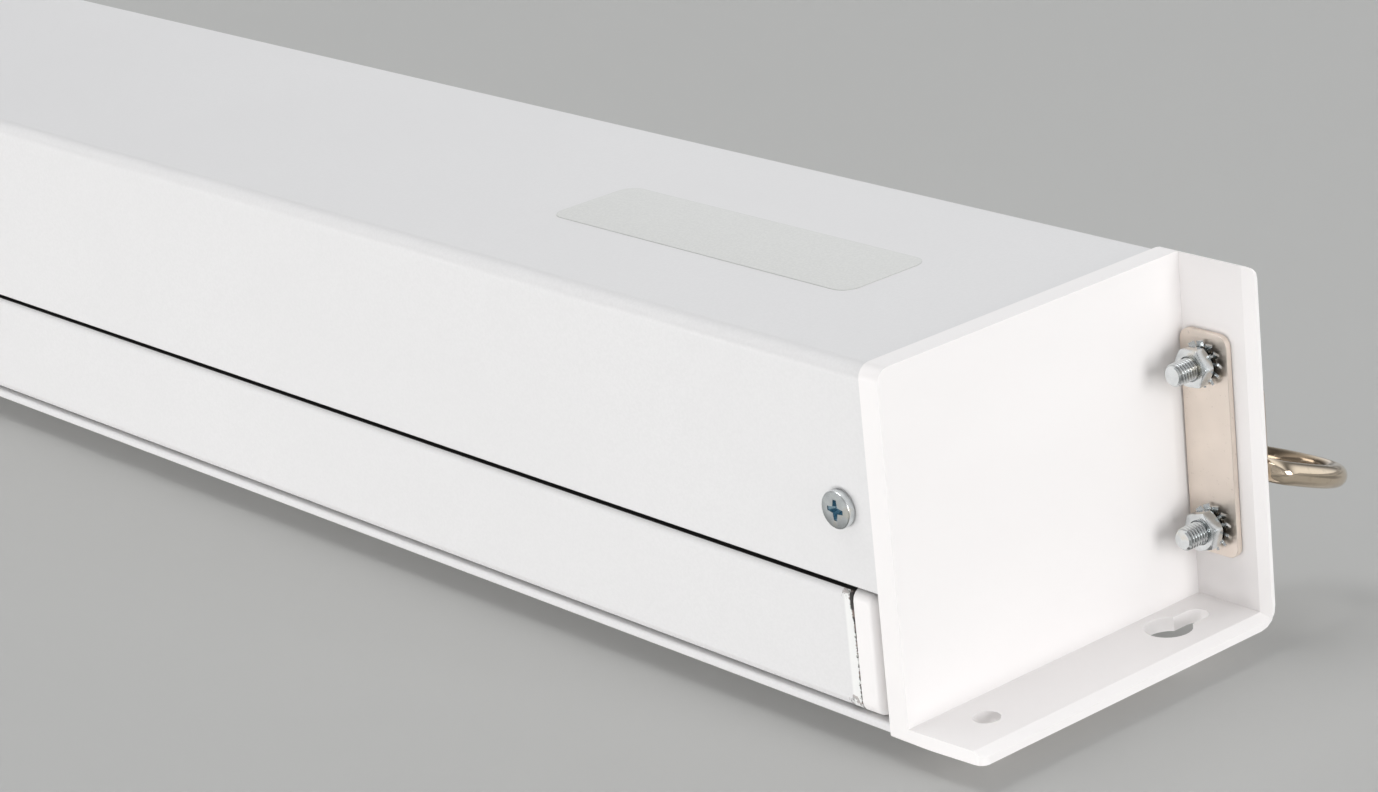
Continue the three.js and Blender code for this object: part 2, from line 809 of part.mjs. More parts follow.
// A pawl with its eye at the origin, turned from hanging straight down to where it lies free of the wheel
function pawl() {
  const neck = Math.asin(pawlHalf / pawlEyeRadius);
  const eye = Array.from({ length: smallSteps + 1 }, (_, i) => {
    const angle = -Math.PI / 2 + neck + ((2 * Math.PI - 2 * neck) * i) / smallSteps;
    return new THREE.Vector2(pawlEyeRadius * Math.cos(angle), pawlEyeRadius * Math.sin(angle));
  });
  const tip = [new THREE.Vector2(-pawlHalf, -pawlReach), new THREE.Vector2(pawlHalf, -pawlReach)];
  return prism('x', [...eye, ...tip], -seatGap - pawlThickness, -seatGap, [
    circle(0, 0, rivetRadius + fitGap, smallSteps).reverse(),
  ]).rotateX(-openAngle);
}

// A wheel whose notches are the room that a locked pawl needs
function ratchetWheel() {
  const wheel = prism('x', circle(0, 0, ratchetRadius), -seatGap - ratchetThickness, -seatGap, [
    circle(0, 0, spindleRadius + seatGap, smallSteps).reverse(),
  ]);
  const room = Array.from({ length: notches }, (_, i) =>
    prism(
      'x',
      rectangle(-pawlReach, -pawlReach - fitGap, pawlHalf + fitGap, 0),
      -ratchetThickness - overrun,
      overrun,
    )
      .rotateX(-lockedAngle)
      .translate(0, 0, pawlPivotRadius)
      .rotateX((i * 2 * Math.PI) / notches),
  );
  return cut(wheel, ...room);
}

// A rod that doesn't turn: a flat tang in the cap's socket, and a collar that holds the spring's outer end
function spindle() {
  const tangX = -ratchetThickness - 2 * seatGap;
  const rod = turned(
    'x',
    [
      [0, tangX],
      [spindleRadius, tangX],
      [spindleRadius, collarX],
      [collarRadius, collarX],
      [collarRadius, collarX + collarThickness],
      [neckRadius, collarX + collarThickness],
      [neckRadius, collarX + collarThickness + neckLength],
      [spindleRadius, collarX + collarThickness + neckLength],
      [spindleRadius, spindleLength],
      [0, spindleLength],
    ],
    smallSteps,
  );
  const half = tangWidth / 2;
  const flat = rectangle(-tangThickness / 2, -half, tangThickness / 2, half, tangThickness / 6);
  return join(rod, prism('x', flat, tangX - tangLength, tangX + seatGap));
}

// A plug fixed in the tube, which holds the spring's inner end and turns on the spindle
function springAnchor() {
  const bore = spindleRadius + fitGap;
  return turned('x', [
    [bore, anchorX - neckLength],
    [neckRadius, anchorX - neckLength],
    [neckRadius, anchorX],
    [tubeInside() - seatGap, anchorX],
    [tubeInside() - seatGap, anchorX + anchorLength],
    [bore, anchorX + anchorLength],
    [bore, anchorX - neckLength],
  ]);
}

// The winding spring's run: straight ends square to the collar and the anchor, and an open coil between them
function springRun() {
  const from = collarX + collarThickness + fitGap;
  const to = anchorX - fitGap;
  const round = 2 * Math.PI * springRadius;
  const bend = Array.from({ length: cornerSteps + 1 }, (_, i) => {
    const angle = (i * Math.PI) / 2 / cornerSteps;
    return [springBend * (1 - Math.cos(angle)), springWire + springBend * Math.sin(angle)];
  });
  const reach = springWire + springBend;
  const turns = springTurns * coilSteps;
  const coil = Array.from({ length: turns - 1 }, (_, i) => {
    const share = (i + 1) / turns;
    return [springBend + share * (springTurns * round - 2 * springBend), from + reach + share * (to - from - 2 * reach)];
  });
  const start = [[0, from], ...bend.map(([u, x]) => [u, from + x])];
  const end = start.map(([u, x]) => [springTurns * round - u, to - (x - from)]).reverse();
  return [...start, ...coil, ...end].map(([u, x]) => {
    const angle = u / springRadius;
    return new THREE.Vector3(x, springRadius * Math.cos(angle), springRadius * Math.sin(angle));
  });
}

// Least gap between the coil's turns, from its points at least half a turn apart
function leastGap(points, diameter) {
  let least = Infinity;
  points.forEach((point, i) => {
    for (let k = i + coilSteps / 2; k < points.length; k += 1) least = Math.min(least, point.distanceTo(points[k]));
  });
  return least - diameter;
}

// Slat

// A roll-formed channel with its mouth up, whose lips hold the rod in the fabric's hem
function slatBar() {
  const front = slatFrontY;
  const back = slatFrontY + slatWidth;
  const section = bentSheet(
    [
      [slatY + slatMouthHalf, slatTopZ - slatLip],
      [slatY + slatMouthHalf, slatTopZ, sheet * 1.2],
      [back, slatTopZ, slatRadius],
      [back, underZ, slatRadius],
      [front, underZ, slatRadius],
      [front, slatTopZ, slatRadius],
      [slatY - slatMouthHalf, slatTopZ, sheet * 1.2],
      [slatY - slatMouthHalf, slatTopZ - slatLip],
    ],
    sheet,
  );
  const holes = handleRivetPlaces().map(([x, y]) =>
    prism('z', circle(x, y, handleRivetRadius + fitGap, smallSteps), -overrun, underZ + sheet + slatLip),
  );
  return cut(prism('x', section, -slatEndX, slatEndX), ...holes);
}

// A moulded plug with a rounded head outside the slat's end and a spigot inside it, drawn for the right end
function slatPlug() {
  const half = slatWidth / 2 + plugLip;
  const section = (x, inset) =>
    rectangle(
      slatY - half + inset,
      underZ - plugLip + inset,
      slatY + half - inset,
      slatTopZ + plugLip - inset,
      plugCorner - inset,
    ).map(({ x: y, y: z }) => new THREE.Vector3(x, y, z));
  const round = Array.from({ length: cornerSteps + 1 }, (_, i) => {
    const angle = (i * Math.PI) / 2 / cornerSteps;
    return section(plugHead - plugRound * (1 - Math.sin(angle)), plugRound * (1 - Math.cos(angle)));
  });
  const inside = sheet + fitGap;
  const spigotOutline = rectangle(
    slatFrontY + inside,
    underZ + inside,
    slatFrontY + slatWidth - inside,
    slatTopZ - slatLip - fitGap,
    slatRadius - sheet,
  );
  return join(loft([section(0, 0), ...round]), prism('x', spigotOutline, -plugSpigot, plugHead / 2));
}

// Pull handle

function handleRivetPlaces() {
  return [-1, 1].flatMap((side) => [-1, 1].map((end) => [end * handleRivetX, slatY + side * handleRivetY]));
}

// A strap under the slat whose raised channel holds the bail's pins
function handleBracket() {
  const section = saddleSection(
    bracketDepth / 2,
    bailRadius + fitGap,
    bailWire + 2 * fitGap,
    bracketThickness,
    bracketThickness * 2,
    bracketThickness / 4,
  );
  const holes = handleRivetPlaces().map(([x, y]) =>
    prism('z', circle(x, y - slatY, handleRivetRadius + fitGap, smallSteps), -overrun, overrun),
  );
  return cut(prism('x', section, -bracketHalf, bracketHalf).rotateX(Math.PI), ...holes);
}

function handleRivet() {
  const headZ = underZ - 2 * seatGap - bracketThickness;
  const profile = [
    [0, headZ - handleRivetHeadHeight],
    [handleRivetHead * 0.6, headZ - handleRivetHeadHeight * 0.8],
    [handleRivetHead, headZ],
    [handleRivetRadius, headZ],
    [handleRivetRadius, headZ + handleRivetShank],
    [0, headZ + handleRivetShank],
  ];
  return turned('z', profile, smallSteps);
}

// A wire bail that hangs down from its two inturned pins
function bail() {
  const run = roundedRun(
    [
      [bailHalf - bailPinInset, 0],
      [bailHalf, 0, bailBend],
      [bailHalf, -bailDrop, bailCorner],
      [-bailHalf, -bailDrop, bailCorner],
      [-bailHalf, 0, bailBend],
      [bailPinInset - bailHalf, 0],
    ],
    false,
  );
  return wire(run.map(({ x, y }) => new THREE.Vector3(x, 0, y)), bailRadius, ringSides);
}

// Assembly

add('housing', housing(), paint());

const idlerSocket = circle(axisY, axisZ, idlerPinRadius + fitGap + bushWall + seatGap);
const tangSocket = rectangle(
  axisY - tangThickness / 2 - fitGap,
  axisZ - tangWidth / 2 - fitGap,
  axisY + tangThickness / 2 + fitGap,
  axisZ + tangWidth / 2 + fitGap,
);

for (const [side, label, socket] of [
  [1, 'right', idlerSocket],
  [-1, 'left', tangSocket],
]) {
  const handed = (geometry) => (side > 0 ? geometry : mirrored(geometry));
  add(`end_cap_${label}`, handed(endCap(socket)), moulding(), side * capX);
  add(`slat_plug_${label}`, handed(slatPlug()), moulding(), side * (slatEndX + seatGap));

  const caseScrew = () => panScrew(caseScrewRadius, caseHeadRadius, caseHeadHeight, caseScrewLength);
  const screwX = side * (capX - caseScrewX);
  add(`case_screw_${label}_under`, caseScrew().rotateX(Math.PI), zinc(), screwX, caseScrewY, underZ - seatGap);
  add(`case_screw_${label}_top`, caseScrew(), zinc(), screwX, caseScrewY, topZ + seatGap);

  const hanger = new THREE.Group();
  hanger.position.set(side * (faceX + hangerX), hangerY, 0);
  screen.add(hanger);
  add(`hanger_saddle_${label}`, hangerSaddle(), nickel(), 0, 0, strapZ, hanger);
  add(`hanger_backing_plate_${label}`, handed(backingPlate()), nickel(), 0, 0, backingZ, hanger);
  add(`hanger_ring_${label}`, hangerRing(), nickel(), 0, ringY - hangerY, ringZ, hanger);
  for (const [place, y] of [
    ['front', -hangerPitch / 2],
    ['back', hangerPitch / 2],
  ]) {
    const screw = panScrew(hangerScrewRadius, hangerHeadRadius, hangerHeadHeight, hangerScrewLength);
    add(`hanger_screw_${label}_${place}`, screw, zinc(), 0, y, strapZ + strapThickness + seatGap, hanger);
    add(`hanger_lock_washer_${label}_${place}`, toothedWasher(), zinc(), 0, y, washerZ, hanger);
    add(`hanger_nut_${label}_${place}`, hexNut(), zinc(), 0, y, nutZ, hanger);
  }
}

add('idler_bush', idlerBush(), nylon(), capX, axisY, axisZ);

add('roller_tube', rollerTube(), steel());
add('fabric_roll', fabricRoll(), fabric());
add('idler_hub', idlerHub(), black(), tubeEndX, axisY, axisZ);

const springEnd = new THREE.Group();
springEnd.position.set(hubFaceX, axisY, axisZ);
screen.add(springEnd);
add('pawl_hub', pawlHub(), steel(), 0, 0, 0, springEnd);
add('pawl_upper', pawl(), steel(), 0, 0, pawlPivotRadius, springEnd);
add('pawl_lower', pawl().rotateX(Math.PI), steel(), 0, 0, -pawlPivotRadius, springEnd);
add('pawl_rivet_upper', pawlRivet(), steel(), 0, 0, pawlPivotRadius, springEnd);
add('pawl_rivet_lower', pawlRivet(), steel(), 0, 0, -pawlPivotRadius, springEnd);
add('ratchet_wheel', ratchetWheel(), steel(), 0, 0, 0, springEnd);
add('spindle', spindle(), steel(), 0, 0, 0, springEnd);
add('spring_anchor', springAnchor(), black(), 0, 0, 0, springEnd);

const run = springRun();
console.log(`winding spring: least gap ${leastGap(run, springWire).toFixed(2)} mm`);
add('winding_spring', wire(run, springWire / 2, coilSides), steel(), 0, 0, 0, springEnd);

add('slat_bar', slatBar(), paint());
add(
  'fabric_rod',
  prism('x', circle(slatY, rodZ, rodRadius, smallSteps), -fabricWidth / 2, fabricWidth / 2),
  nylon(),
);
add(
  'screen_fabric',
  prism(
    'x',
    rectangle(slatY - fabricThickness / 2, rodZ + rodRadius + seatGap, slatY + fabricThickness / 2, axisZ),
    -fabricWidth / 2,
    fabricWidth / 2,
  ),
  fabric(),
);

add('handle_bracket', handleBracket(), zinc(), 0, slatY, underZ - seatGap);
handleRivetPlaces().forEach(([x, y], i) => add(`handle_rivet_${i + 1}`, handleRivet(), zinc(), x, y));
add('pull_handle', bail(), zinc(), 0, slatY, bailZ);

export default screen;
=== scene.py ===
import json
import math

import bmesh
import bpy
import numpy as np
from mathutils import Matrix, Vector


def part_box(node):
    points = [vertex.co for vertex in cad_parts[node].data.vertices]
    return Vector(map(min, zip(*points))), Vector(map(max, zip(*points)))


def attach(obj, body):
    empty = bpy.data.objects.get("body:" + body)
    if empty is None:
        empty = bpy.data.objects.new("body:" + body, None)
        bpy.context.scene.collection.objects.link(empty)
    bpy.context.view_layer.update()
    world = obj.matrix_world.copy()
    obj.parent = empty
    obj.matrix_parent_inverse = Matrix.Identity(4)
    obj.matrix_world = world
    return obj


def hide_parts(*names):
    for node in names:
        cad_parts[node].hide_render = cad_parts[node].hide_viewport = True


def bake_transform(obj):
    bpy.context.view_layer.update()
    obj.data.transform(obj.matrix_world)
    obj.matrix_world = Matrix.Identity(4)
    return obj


bl_info = {
    "name": "Projection screen",
    "version": (1, 0, 0),
    "blender": (4, 5, 0),
    "location": "View3D > Sidebar > Screen",
    "description": "Finishes a pull-down projection screen on its packed frame",
    "category": "Object",
}

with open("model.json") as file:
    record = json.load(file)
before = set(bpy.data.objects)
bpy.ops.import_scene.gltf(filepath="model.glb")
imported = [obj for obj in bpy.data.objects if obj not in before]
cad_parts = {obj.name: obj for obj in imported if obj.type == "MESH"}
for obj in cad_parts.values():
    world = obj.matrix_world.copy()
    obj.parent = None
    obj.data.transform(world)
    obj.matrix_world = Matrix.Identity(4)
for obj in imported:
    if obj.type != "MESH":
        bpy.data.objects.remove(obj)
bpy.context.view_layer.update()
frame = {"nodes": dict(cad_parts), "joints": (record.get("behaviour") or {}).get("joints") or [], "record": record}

MM = 0.001
MICRON = 0.000001
RECORD = frame["record"]
BODY_OF = {node: body for body, nodes in RECORD["behaviour"]["bodies"].items() for node in nodes}
SLOT_OF = {row["node"]: row["material_slot"] for row in RECORD["subparts"]}
JOINTS = {joint["name"]: joint for joint in frame["joints"]}
SIDES = ("right", "left")

# Camera of the photograph
CAMERA_AT = Vector((1382.2, -344.4, -564.1)) * MM
CAMERA_TURN = (153.39, -48.978, 8.791)  # degrees about X, Y and Z
LENS = 105.13  # mm, on a sensor 36 mm wide
SENSOR = 36

# Welding and smoothing of copied CAD surfaces
WELD = 10 * MICRON
FLAT = math.radians(0.3)
CREASE = math.radians(32)
THREAD_CREASE = math.radians(38)
NUT_CREASE = math.radians(22)
WASHER_CREASE = math.radians(12)
CLOTH_CREASE = math.radians(60)


def tone(red, green, blue):
    """A colour written as sRGB bytes, as Blender's linear values."""
    shares = (value / 255 for value in (red, green, blue))
    return tuple(s / 12.92 if s <= 0.04045 else ((s + 0.055) / 1.055) ** 2.4 for s in shares)


def size_property(name, description, default, unit="LENGTH"):
    return bpy.props.FloatProperty(name=name, description=description, default=default, unit=unit)


def colour_property(name, description, *levels):
    default = tone(*levels)
    return bpy.props.FloatVectorProperty(name=name, description=description, default=default, subtype="COLOR")


class ProjectionSizes(bpy.types.PropertyGroup):
    """Sizes of the details that the solids leave out."""

    edge_round: size_property("Moulding edges", "Radius on the end caps' edges", 0.35 * MM)
    sheet_round: size_property("Sheet edges", "Radius on the cut edges of sheet metal", 0.18 * MM)
    thread_depth: size_property("Thread depth", "From crest to root", 0.42 * MM)
    tooth_twist: size_property("Tooth twist", "Twist of each lock washer tooth", math.radians(46), "ROTATION")
    side_border: size_property("Side border", "Black border at each side of the picture", 25 * MM)
    lower_border: size_property("Lower border", "Black border above the slat", 25 * MM)
    picture_height: size_property("Picture height", "White area of the cloth", 1524 * MM)
    cloth_thickness: size_property("Cloth thickness", "Thickness of the cloth", 0.34 * MM)
    wind_pitch: size_property("Winding pitch", "Distance between wound layers", 0.37 * MM)


class ProjectionColours(bpy.types.PropertyGroup):
    """Colours of the finishes."""

    paint: colour_property("Powder coat", "Case and slat", 228, 227, 227)
    moulding: colour_property("Moulding", "End caps and plugs", 245, 242, 241)
    strap: colour_property("Strap nickel", "Hanger straps", 240, 229, 218)
    ring: colour_property("Ring nickel", "Hanging rings", 220, 203, 180)
    zinc: colour_property("Zinc plate", "Screws, nuts and handle", 227, 231, 232)
    cloth: colour_property("Picture cloth", "White front of the cloth", 240, 240, 238)
    border: colour_property("Border", "Black printed border", 22, 22, 23)
    label: colour_property("Label", "Bare film label on the front", 217, 217, 214)


# Node trees


def operator(operation, swapped=False):
    """A method that adds a Math node of this value and the other, or of the two in swapped order."""
    if swapped:
        return lambda self, other: self.graph.math(operation, other, self)
    return lambda self, *other: self.graph.math(operation, self, *other)


class Value:
    """A number socket in a node tree, on which Python's operators add Math nodes."""

    def __init__(self, graph, socket):
        self.graph = graph
        self.socket = socket

    __add__, __radd__ = operator("ADD"), operator("ADD", swapped=True)
    __sub__, __rsub__ = operator("SUBTRACT"), operator("SUBTRACT", swapped=True)
    __mul__, __rmul__ = operator("MULTIPLY"), operator("MULTIPLY", swapped=True)
    __truediv__, __rtruediv__ = operator("DIVIDE"), operator("DIVIDE", swapped=True)
    __gt__, __lt__ = operator("GREATER_THAN"), operator("LESS_THAN")
    __abs__ = operator("ABSOLUTE")
    smaller, larger = operator("MINIMUM"), operator("MAXIMUM")

    def clamped(self):
        return self.graph.math("ADD", self, 0, clamp=True)


class Graph:
    """A node tree with one way to add a node."""

    def __init__(self, tree):
        self.tree = tree
        tree.nodes.clear()

    def node(self, kind, sockets=None, settings=None):
        """Adds a node of a kind, with its settings first and then the values or links of its sockets."""
        made = self.tree.nodes.new(kind)
        for name, value in (settings or {}).items():
            setattr(made, name, value)
        for key, value in (sockets or {}).items():
            for each in value if isinstance(value, list) else [value]:
                source = each.socket if isinstance(each, Value) else each
                if isinstance(source, bpy.types.NodeSocket):
                    self.tree.links.new(source, made.inputs[key])
                else:
                    made.inputs[key].default_value = source
        return made

    def out(self, kind, sockets=None, settings=None, key=0):
        """One output of a new node."""
        return self.node(kind, sockets, settings).outputs[key]

    def value(self, kind, sockets=None, settings=None, key=0):
        return Value(self, self.out(kind, sockets, settings, key))

    def math(self, operation, *numbers, clamp=False):
        settings = {"operation": operation, "use_clamp": clamp}
        return self.value("ShaderNodeMath", dict(enumerate(numbers)), settings)

    def parts(self, vector):
        """The X, Y and Z of a vector socket."""
        return [Value(self, socket) for socket in self.node("ShaderNodeSeparateXYZ", {0: vector}).outputs]

    def vector(self, x, y, z):
        return self.out("ShaderNodeCombineXYZ", {0: x, 1: y, 2: z})


class Finish(Graph):
    """A material on Object coordinates."""

    def __init__(self, name):
        self.material = bpy.data.materials.new(name)
        self.material.use_nodes = True
        super().__init__(self.material.node_tree)
        self.place = self.out("ShaderNodeTexCoord", key="Object")

    def noise(self, per_metre, detail=2.0, roughness=0.5, stretch=None):
        """Soft noise with that many grains in a metre."""
        where = self.place
        if stretch:
            where = self.out("ShaderNodeMapping", {"Vector": self.place, "Scale": stretch})
        sockets = {"Vector": where, "Scale": per_metre, "Detail": detail, "Roughness": roughness}
        return self.value("ShaderNodeTexNoise", sockets)

    def ramp(self, value, start, end):
        """0 before start, 1 past end, and smooth between."""
        settings = {"interpolation_type": "SMOOTHSTEP"}
        return self.value("ShaderNodeMapRange", {0: value, 1: start, 2: end}, settings)

    def attribute(self, name):
        return self.value("ShaderNodeAttribute", None, {"attribute_name": name}, "Fac")

    def mix(self, mask, first, second):
        """The first colour where the mask is 0 and the second where it is 1."""
        first, second = [(*c, 1) if isinstance(c, tuple) else c for c in (first, second)]
        return self.out("ShaderNodeMix", {0: mask, 6: first, 7: second}, {"data_type": "RGBA"}, 2)

    def shaded(self, grain, colour, share, start=0.35, end=0.65):
        """The colour, as dark as that share of it where the grain is before start."""
        return self.mix(self.ramp(grain, start, end), darker(colour, share), colour)

    def surface(self, tint, roughness, height, depth, strength=0.5, metallic=0.0):
        """Ends the material in one shader, whose bump is as deep as that where the height is 1."""
        bump = self.out("ShaderNodeBump", {"Height": height, "Distance": depth, "Strength": strength})
        sockets = {"Base Color": tint, "Roughness": roughness, "Metallic": metallic, "Normal": bump}
        shader = self.out("ShaderNodeBsdfPrincipled", sockets)
        self.node("ShaderNodeOutputMaterial", {"Surface": shader})
        return self.material


def darker(colour, share):
    return tuple(channel * share for channel in colour)


def colours():
    return bpy.context.scene.projection_colours


def sizes():
    return bpy.context.scene.projection_sizes


def powder_coat(finish, painted_gap_shade, raised_highlight_band=None, chips=None):
    """Baked powder coat, with near-black painted shade in the slot's gap, a painted highlight on a raised band,
    and broken to the metal where chipped.
    """
    paint = tuple(colours().paint)
    grain = finish.noise(1500, detail=2.5, roughness=0.6)
    cloud = finish.ramp(finish.noise(14), 0.3, 0.7)
    tint = finish.mix(cloud * 0.35, finish.shaded(grain, paint, 0.965), darker(paint, 0.955))
    height = grain
    if chips is not None:
        bare = finish.mix(finish.ramp(finish.noise(500), 0.5, 0.62), tone(48, 45, 44), tone(134, 116, 110))
        # Painted highlight: paler on the raised band at the sawn ends.
        tint = finish.mix(raised_highlight_band * 0.8, tint, tone(243, 243, 241))
        tint = finish.mix(chips, tint, bare)
        height = grain + raised_highlight_band - chips * 3
    # Painted shade: near black where the gap mask is 1.
    tint = finish.mix(painted_gap_shade, tint, tone(26, 25, 24))
    return finish.surface(tint, 0.4 + finish.ramp(grain, 0.3, 0.7) * 0.16, height, 0.045 * MM)


def case_paint(finish):
    """White powder coat of the case, with near-black painted shade on the lip's hidden side in the slot."""
    _, y, z = finish.parts(finish.place)
    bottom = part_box("housing")[0].z
    slat_front, slat_back = (corner.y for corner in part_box("slat_bar"))
    skin, gap, lip_height = 0.2 * MM, 1.7 * MM, 9 * MM
    # Painted shade: the slot's faces above the bottom skin go near black, so the gap beside the slat reads dark.
    at_slot = (y > slat_front - gap) * (y < slat_back)
    return powder_coat(finish, at_slot * (z > bottom + skin) * (z < bottom + lip_height))


def slat_paint(finish):
    """The same coat, with a painted highlight on a raised band at the slat's sawn ends, broken at their edges, and
    with near-black painted shade low on its front face in the slot's gap.
    """
    x, y, z = finish.parts(finish.place)
    low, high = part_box("slat_bar")
    from_end = high.x - abs(x)
    to_front = finish.ramp(y, low.y + 9 * MM, low.y + 2 * MM)
    ragged = finish.noise(1500, detail=4, roughness=0.8) * 2.4 * MM
    broken = finish.noise(900, detail=3, roughness=0.7)
    edge = (from_end + ragged) < (1.35 * MM + to_front * 0.85 * MM)
    edge = edge * (broken + to_front * 0.3 > 0.44)
    smear = finish.ramp(y, low.y + 4 * MM, low.y + 2 * MM) * finish.ramp(from_end, 4.5 * MM, 3 * MM)
    at_back = finish.ramp(y, high.y - 4.2 * MM, high.y - 2.8 * MM) * finish.ramp(from_end, 6 * MM, 3.5 * MM)
    knocked = (finish.noise(800, detail=4, roughness=0.7) * smear.larger(at_back)) > 0.5
    # Painted shade: a near-black band low on the front face, where the slat sits in the slot's gap.
    darkening = (y < low.y + 0.5 * MM) * (z > low.z + 0.45 * MM) * (z < low.z + 1.8 * MM)
    # A raised band at each sawn end, with a painted highlight on it.
    raised_highlight_band = finish.ramp(from_end, 2.9 * MM, 2.1 * MM)
    return powder_coat(finish, darkening, raised_highlight_band, edge.larger(knocked * 0.6))


def moulding(finish):
    """White satin moulding with faint flow marks."""
    white = tuple(colours().moulding)
    flow = finish.noise(28, detail=3, stretch=(1, 1, 0.35))
    tint = finish.shaded(flow, white, 0.978, 0.3, 0.7)
    return finish.surface(tint, 0.36 + flow * 0.14, finish.noise(2600) + flow * 3, 0.012 * MM)


def nickel_strap(finish):
    """Dull nickel plate over rolled strip, with small pits."""
    warm = tuple(colours().strap)
    rolled = finish.noise(420, detail=3, stretch=(1, 0.06, 1))
    pits = finish.ramp(finish.noise(900, detail=3, roughness=0.7), 0.63, 0.72)
    cloudy = finish.shaded(finish.noise(60, detail=3), warm, 0.9)
    tint = finish.mix(pits * 0.25, cloudy, darker(warm, 0.5))
    roughness = 0.3 + rolled * 0.14 + pits * 0.2
    return finish.surface(tint, roughness, rolled * 0.6 - pits * 0.5, 0.02 * MM, metallic=1.0)


def nickel_ring(finish):
    """Bright nickel plate with slight waves from the bending, with a painted dark brown reflection on the ring's
    inner side.
    """
    warm = tuple(colours().ring)
    waves = finish.noise(130)
    darkening = finish.ramp(finish.noise(700, detail=3), 0.55, 0.75)
    inner = finish.ramp(finish.attribute("inner") + waves * 0.1, 0.62, 0.86)
    # Painted reflection: dark brown on the side that faces the ring's middle.
    tint = finish.mix(inner * 0.85, warm, tone(122, 104, 84))
    tint = finish.mix(darkening * 0.35, tint, darker(warm, 0.7))
    return finish.surface(tint, 0.1 + darkening * 0.1 + inner * 0.08, waves, 0.12 * MM, 0.35, metallic=1.0)


def zinc_plate(finish):
    """Pale zinc plate, with painted shade in the thread roots and on the lock washers' band, painted blue-grey
    shade in the drivers' recesses, and brassy in patches.
    """
    bright = tuple(colours().zinc)
    cloud = finish.noise(520, detail=3)
    brassy = finish.ramp(finish.noise(260), 0.6, 0.72)
    tint = finish.mix(brassy * 0.3, finish.shaded(cloud, bright, 0.88), tone(214, 198, 164))
    # Painted shade in the thread roots and on the lock washers' band under the teeth.
    tint = finish.mix(finish.attribute("hollow"), tint, tone(66, 62, 56))
    # Painted shade, blue-grey, in the drivers' recesses.
    tint = finish.mix(finish.attribute("recess"), tint, tone(160, 190, 205))
    height = finish.noise(2600) + cloud
    return finish.surface(tint, 0.13 + cloud * 0.12, height, 0.008 * MM, 0.4, metallic=1.0)


def bare_steel(finish):
    """Drawn steel with fine lines along the case and a film of oil."""
    lines = finish.noise(700, stretch=(0.04, 1, 1))
    oil = finish.ramp(finish.noise(40, detail=3), 0.4, 0.65)
    tint = finish.mix(lines, tone(150, 151, 154), tone(186, 187, 189))
    tint = finish.mix(oil * 0.35, tint, tone(140, 134, 124))
    return finish.surface(tint, 0.26 + lines * 0.18, lines, 0.02 * MM, metallic=1.0)


def nylon(finish):
    """Natural nylon, slightly cloudy."""
    cloud = finish.noise(90)
    tint = finish.mix(cloud, tone(222, 218, 204), tone(234, 231, 220))
    return finish.surface(tint, 0.42 + cloud * 0.15, finish.noise(1800), 0.01 * MM)


def black_plastic(finish):
    """Black glass-filled moulding."""
    fibres = finish.noise(900, stretch=(0.2, 1, 1))
    tint = finish.mix(fibres, tone(24, 24, 25), tone(40, 40, 42))
    return finish.surface(tint, 0.42 + fibres * 0.2, fibres, 0.02 * MM)


def weave(finish):
    """Height of a plain weave, with threads across and along the cloth."""
    x, _, z = finish.parts(finish.place)
    threads = 1600
    across, along = (finish.math("SINE", place * threads * math.pi) for place in (x, z))
    return across * along


def cloth_front(finish):
    """Matt white picture between black borders, by place across and by length drawn out."""
    x, _, _ = finish.parts(finish.place)
    drawn = finish.attribute("drawn")
    sheet_low, sheet_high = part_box("screen_fabric")
    half = sheet_high.x - sizes().side_border
    lower = drawn_length() - (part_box("slat_bar")[1].z - sheet_low.z) - sizes().lower_border
    upper = lower - sizes().picture_height
    black = (abs(x) > half).larger(drawn > lower).larger(drawn < upper)
    white = tuple(colours().cloth)
    picture = finish.shaded(finish.noise(7, detail=3, stretch=(1, 1, 0.3)), white, 0.975, 0.3, 0.7)
    tint = finish.mix(black, picture, tuple(colours().border))
    return finish.surface(tint, 0.88 - black * 0.1, weave(finish), 0.02 * MM)


def cloth_back(finish):
    """Plain off-white back of the cloth."""
    white = tuple(colours().cloth)
    cloud = finish.noise(9, detail=3, stretch=(1, 1, 0.4))
    tint = finish.mix(cloud, darker(white, 0.8), darker(white, 0.88))
    return finish.surface(tint, 0.8 + cloud * 0.1, weave(finish), 0.03 * MM, 0.6)


def label_film(finish):
    """Frosted film label, left bare, with a fine darker cut edge."""
    film = tuple(colours().label)
    frost = finish.noise(1900, detail=3, roughness=0.7)
    frosted = finish.shaded(frost, film, 0.93, 0.4, 0.62)
    tint = finish.mix(finish.attribute("rim") * 0.5, frosted, darker(film, 0.8))
    return finish.surface(tint, 0.3 + frost * 0.12, frost, 0.02 * MM, 0.4)


ON_METAL = (case_paint, slat_paint, nickel_strap, nickel_ring, zinc_plate, bare_steel)
OTHERS = (moulding, nylon, black_plastic, cloth_front, cloth_back, label_film)
FINISHES = {maker.__name__: maker for maker in ON_METAL + OTHERS}


def finish_named(name):
    """The finish of that name, which is made on its first use."""
    full_name = f"finish_{name}"
    return bpy.data.materials.get(full_name) or FINISHES[name](Finish(full_name))


# Pieces


def linked(name, data):
    """A new object in the scene."""
    made = bpy.data.objects.new(name, data)
    bpy.context.scene.collection.objects.link(made)
    return made


def add_piece(name, mesh, nodes, finish=None):
    """A finished piece in place of CAD nodes of one body: it rides on that body and takes their slot."""
    piece = linked(name, mesh)
    mesh.materials.clear()
    mesh.materials.append(finish_named(finish or SLOT_OF[nodes[0]]))
    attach(piece, BODY_OF[nodes[0]])
    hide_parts(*nodes)
    return piece


